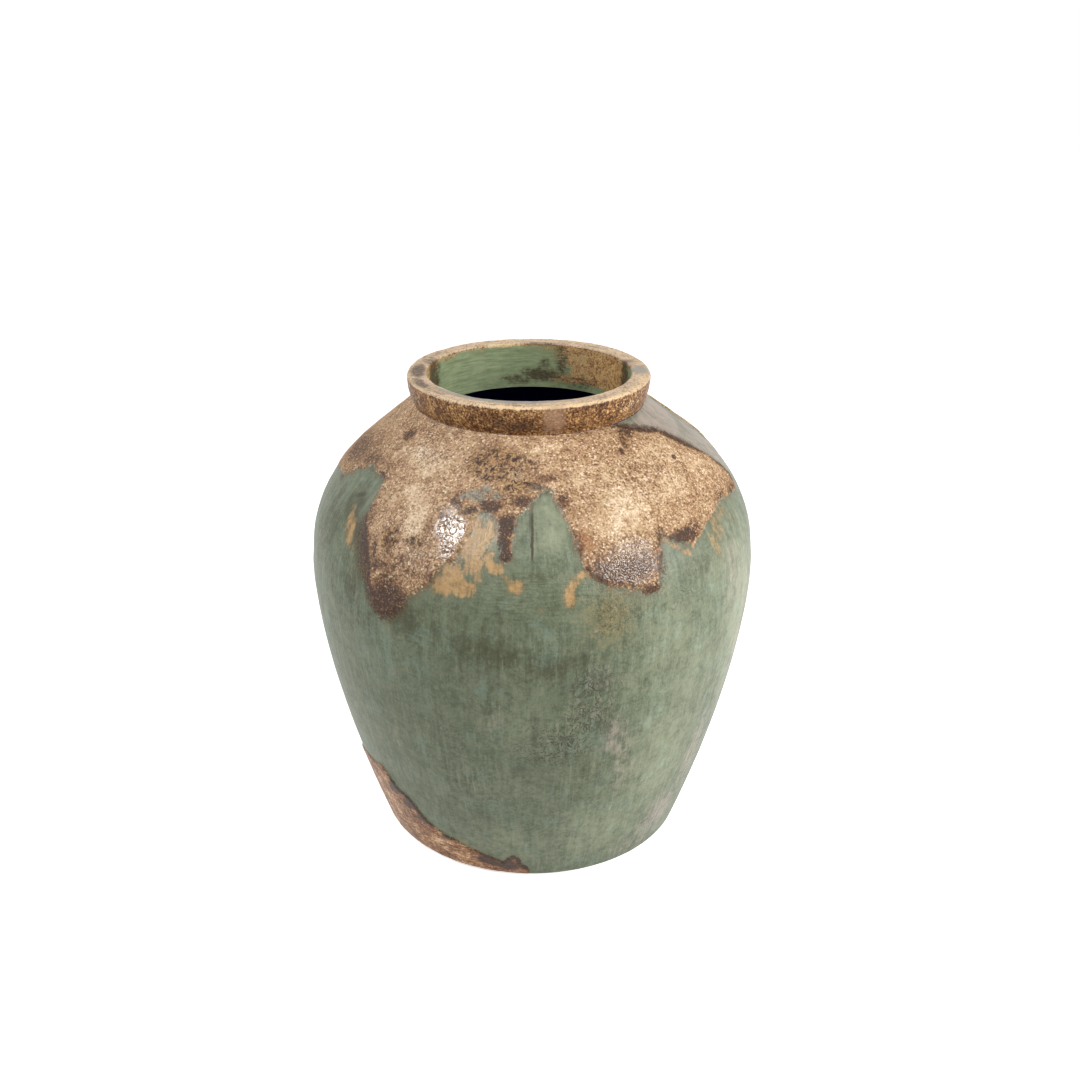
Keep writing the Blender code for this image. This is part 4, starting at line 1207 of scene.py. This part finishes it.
def make_collar(finishes):
    """The mouth: lip band, worn lip and the inside down to the spigot's foot."""
    outline = [(NECK_RADIUS + out, NECK_HEIGHT + up) for out, up in UNDERCUT]
    outer_centre = (LIP_RADIUS - LIP_CORNER, JAR_HEIGHT - LIP_CORNER)
    bore_centre = (BORE_RADIUS + BORE_CORNER, JAR_HEIGHT - BORE_CORNER)
    outline += quarter_turn(outer_centre, LIP_CORNER, 0.0, LIP_CORNER_POINTS)
    outline += quarter_turn(bore_centre, BORE_CORNER, 90.0, BORE_CORNER_POINTS)
    outline.append((BORE_RADIUS, SPIGOT_FOOT))
    points, along = section_grid(outline, LIP_ROW_STEP, lip_relief)
    points = leaned(points)
    points[..., 2] = np.minimum(points[..., 2], JAR_HEIGHT)
    bearing = np.broadcast_to(bearings(COLUMNS), along.shape)
    inside = eased(along, *INSIDE_FADE)
    fields = {
        "umber": painted(LIP_UMBER_AND_SHADE, bearing, along, LIP_RADIUS),
        "green": painted(LIP_GREEN, bearing, along, BORE_RADIUS, square=4.0) * inside,
        "cream": painted(LIP_CREAM_AND_HIGHLIGHT_LINE, bearing, along, LIP_RADIUS),
        "grey": painted(LIP_GREY, bearing, along, NECK_RADIUS),
        "smooth": painted(LIP_SMOOTH, bearing, along, LIP_RADIUS, square=4.0),
        "lip_top": eased(along, *LIP_TOP_FADE) * (1 - inside),
        "inside": inside,
    }
    spigot = section_grid([(SPIGOT_RADIUS, SPIGOT_FOOT), (SPIGOT_RADIUS, NECK_HEIGHT)], PLAIN_ROW_STEP)[0]
    spigot = leaned(spigot)
    spans = [
        (points, None, fields, 0),
        joint_span(points[-1], spigot[0]),
        (spigot, None, {}, 1),
        joint_span(spigot[-1], points[0]),
    ]
    used = [finishes["lip_glaze"], finishes["collar_foot_painted_shade"]]
    closed_piece("neck_collar_lip", spans, used, ["neck_collar"])


def keep_cells(field):
    """Cells of a grid to keep: those with a corner in the crust, with no two that meet only at a corner."""
    inside = field > -CRUST_MARGIN
    touched = inside[:-1] | inside[1:]
    keep = touched | np.roll(touched, -1, 1)
    for _ in range(MENDING_ROUNDS):
        right = np.roll(keep, -1, 1)
        rising = keep[:-1] & right[1:] & ~right[:-1] & ~keep[1:]
        falling = ~keep[:-1] & ~right[1:] & right[:-1] & keep[1:]
        diagonal = rising | falling
        keep[:-1] |= diagonal
        keep[1:] |= diagonal
        keep = keep | np.roll(np.pad(diagonal, ((0, 1), (0, 0))), 1, 1)
    return keep


def skin_height(points, heights, field, fields):
    """How far the crust stands out of the wall: lumpy, and thin at its edges and under the collar."""
    rim = np.clip((field + CRUST_EDGE_START) / CRUST_EDGE_WIDTH, 0, 1)
    swell = np.sqrt(1 - (1 - rim) ** 2)
    drop = eased(fields["gloss"], *DROP_FADE)
    lump = CRUST_LUMP * layered_lumps(points, CRUST_LUMP_SIZE, 21)
    lump = lump + DROP_WRINKLE * drop * layered_lumps(points, DROP_WRINKLE_SIZE, 23)
    lump = lump + FOLD_RISE * fields["fold"]
    lump = lump + BURNT_LUMP * fields["burnt"] * layered_lumps(points, BURNT_LUMP_SIZE, 24)
    ridge = RIDGE_HEIGHT * np.exp(-(((field - RIDGE_PLACE) / RIDGE_WIDTH) ** 2))
    under_collar = eased(np.asarray(heights)[:, None], NECK_HEIGHT - THINNING_REACH, NECK_HEIGHT)
    thickness = (CRUST_TOP + lump + ridge) * (1 - NECK_THINNING * under_collar)
    return thickness * swell - CRUST_TUCK * (1 - swell)


def make_skin(heights, field_name, finish, node):
    """A crust as a closed skin that sinks into the wall at its ragged edges."""
    points, _, fields, outward = wall_grid(heights, CRUST_COLUMNS)
    field = fields[field_name]
    upper = points + outward * skin_height(points, heights, field, fields)[..., None]
    lower = points - outward * CRUST_BURIED
    keep = keep_cells(field)
    total = field.size
    index = np.arange(total).reshape(field.shape)
    right = np.roll(index, -1, 1)
    corners = (index[:-1], right[:-1], right[1:], index[1:])
    tops = np.stack([corner[keep] for corner in corners], 1)
    empty = np.zeros((1, field.shape[1]), bool)
    padded = np.concatenate([empty, keep, empty])
    neighbours = (padded[:-2], np.roll(keep, -1, 1), padded[2:], np.roll(keep, 1, 1))
    sides = []
    for side, neighbour in enumerate(neighbours):
        bare_side = keep & ~neighbour
        here, there = corners[side][bare_side], corners[(side + 1) % 4][bare_side]
        sides.append(np.stack([there, here, here + total, there + total], 1))
    sides = np.concatenate(sides)
    used, faces = np.unique(np.concatenate([tops, tops[:, ::-1] + total, sides]), return_inverse=True)
    normals = grid_normals(upper).reshape(-1, 3)
    loops = np.concatenate([normals[tops], -normals[tops[:, ::-1]], np.zeros((len(sides), 4, 3))])
    both = np.concatenate([upper.reshape(-1, 3), lower.reshape(-1, 3)])[used]
    spread = {key: values.reshape(total, *values.shape[2:])[used % total] for key, values in fields.items()}
    faces = faces.reshape(-1, 4).tolist()
    loops = loops.reshape(-1, 3).tolist()
    mesh_piece(f"{node}_skin", both, faces, loops, spread, [finish], np.zeros(len(faces)), [node])


def make_jar():
    """Every piece of the jar."""
    finishes = {}
    for name in ("sage_glaze", "shoulder_glaze", "rust_crust", "bare_rim"):
        finishes[name] = jar_glaze(name)
    for name in ("collar_foot_painted_shade", "hollow_painted_shade"):
        finishes[name] = hollow_painted_shade(name)
    finishes["sand_crust"] = jar_glaze("sand_crust", CRUST_MIRROR)
    finishes["lip_glaze"] = lip_glaze("lip_glaze")
    finishes["bare_clay"] = bare_clay("bare_clay")
    make_slab(make_walls(finishes), finishes)
    make_collar(finishes)
    lowest = min(height for _, height in CRUST_EDGE) - EDGE_ROOM
    highest = max(height for _, height in FOOT_EDGE) + EDGE_ROOM
    shoulder_rows = rows_up(lowest, NECK_HEIGHT, CRUST_ROW_STEP)
    foot_rows = rows_up(FOOT_BEVEL + FOOT_CRUST_START, highest, CRUST_ROW_STEP)
    make_skin(shoulder_rows, "crust", finishes["sand_crust"], "shoulder_crust")
    make_skin(foot_rows, "rust", finishes["rust_crust"], "foot_crust")


# Camera and light
CAMERA_PLACE = (0.0, -0.963, 0.6768)
CAMERA_DOWN = 24.29
CAMERA_LENS = 42.27
CAMERA_SHIFT = 0.0072
CAMERA_SENSOR = 36.0
WORLD_LEVEL = 0.40
FLOOR_GLOW = 0.70
FLOOR_HALF = 40.0
WHITE = (1.0, 1.0, 1.0, 1.0)
WINDOWS = (
    # direction to the window from the jar, distance, side, level, whether it lights more than gloss
    ((-0.615, -0.315, 0.723), 1.7, 0.30, 13.0, True),
    ((0.703, -0.508, 0.498), 1.8, 0.34, 9.0, True),
    ((0.90, -0.28, 0.33), 2.0, 1.2, 26.0, True),
    ((-0.64, -0.34, 0.69), 1.7, 0.55, 80.0, False),
    ((0.735, -0.530, 0.425), 1.8, 0.40, 36.0, False),
)
LIGHT_CENTRE = (0.0, 0.0, 0.27)


def make_camera():
    """The camera stands where the photograph was taken from."""
    data = bpy.data.cameras.new("camera")
    data.lens = CAMERA_LENS
    data.sensor_width = CAMERA_SENSOR
    data.shift_x = CAMERA_SHIFT
    camera = bpy.data.objects.new("camera", data)
    camera.location = CAMERA_PLACE
    camera.rotation_euler = (math.radians(90.0 - CAMERA_DOWN), 0.0, 0.0)
    bpy.context.scene.collection.objects.link(camera)
    bpy.context.scene.camera = camera


def make_windows():
    """Windows whose glints show on the shoulder, and a broad one that lights the right side."""
    centre = Vector(LIGHT_CENTRE)
    for number, (direction, distance, side, level, lights_all) in enumerate(WINDOWS):
        data = bpy.data.lights.new(f"window_{number}", "AREA")
        data.size = side
        data.energy = level
        lamp = bpy.data.objects.new(f"window_{number}", data)
        lamp.visible_diffuse = lights_all
        aim = Vector(direction).normalized()
        lamp.location = centre + aim * distance
        lamp.rotation_euler = aim.to_track_quat("Z", "Y").to_euler()
        bpy.context.scene.collection.objects.link(lamp)


def looked_at(finish):
    """1 for the rays that look at the room directly, in a mirror or through glass, and 0 for others."""
    seen = 0.0
    for ray in ("Is Camera Ray", "Is Glossy Ray", "Is Transmission Ray"):
        seen = finish.node("ShaderNodeLightPath", {}, {}, ray) + seen
    return seen.maths("MINIMUM", seen, 1.0)


def make_world():
    """A plain room: white where it is looked at or mirrored, and a soft level of light otherwise."""
    world = bpy.data.worlds.new("room")
    world.use_nodes = True
    bpy.context.scene.world = world
    room = Finish("room", world)
    strength = looked_at(room) * (1 - WORLD_LEVEL) + WORLD_LEVEL
    sky = room.node("ShaderNodeBackground", {}, {"Color": WHITE, "Strength": strength})
    room.node("ShaderNodeOutputWorld", {}, {"Surface": sky})


def make_floor():
    """A white floor that keeps the jar's shadow."""
    mesh = bpy.data.meshes.new("floor")
    corners = [(-FLOOR_HALF, -FLOOR_HALF, 0), (FLOOR_HALF, -FLOOR_HALF, 0)]
    corners += [(FLOOR_HALF, FLOOR_HALF, 0), (-FLOOR_HALF, FLOOR_HALF, 0)]
    mesh.from_pydata(corners, [], [(0, 1, 2, 3)])
    floor = bpy.data.objects.new("floor", mesh)
    bpy.context.scene.collection.objects.link(floor)
    finish = Finish("floor_white")
    plain = finish.node("ShaderNodeBsdfDiffuse", {}, {"Color": FLOOR_WHITE})
    sockets = {"Color": WHITE, "Strength": looked_at(finish) * FLOOR_GLOW}
    glow = finish.node("ShaderNodeEmission", {}, sockets)
    both = finish.node("ShaderNodeAddShader", {}, {0: plain, 1: glow})
    finish.node("ShaderNodeOutputMaterial", {}, {"Surface": both})
    mesh.materials.append(finish.material)


make_camera()
make_world()
make_windows()
make_floor()
make_jar()
bpy.context.scene.view_settings.view_transform = "Standard"
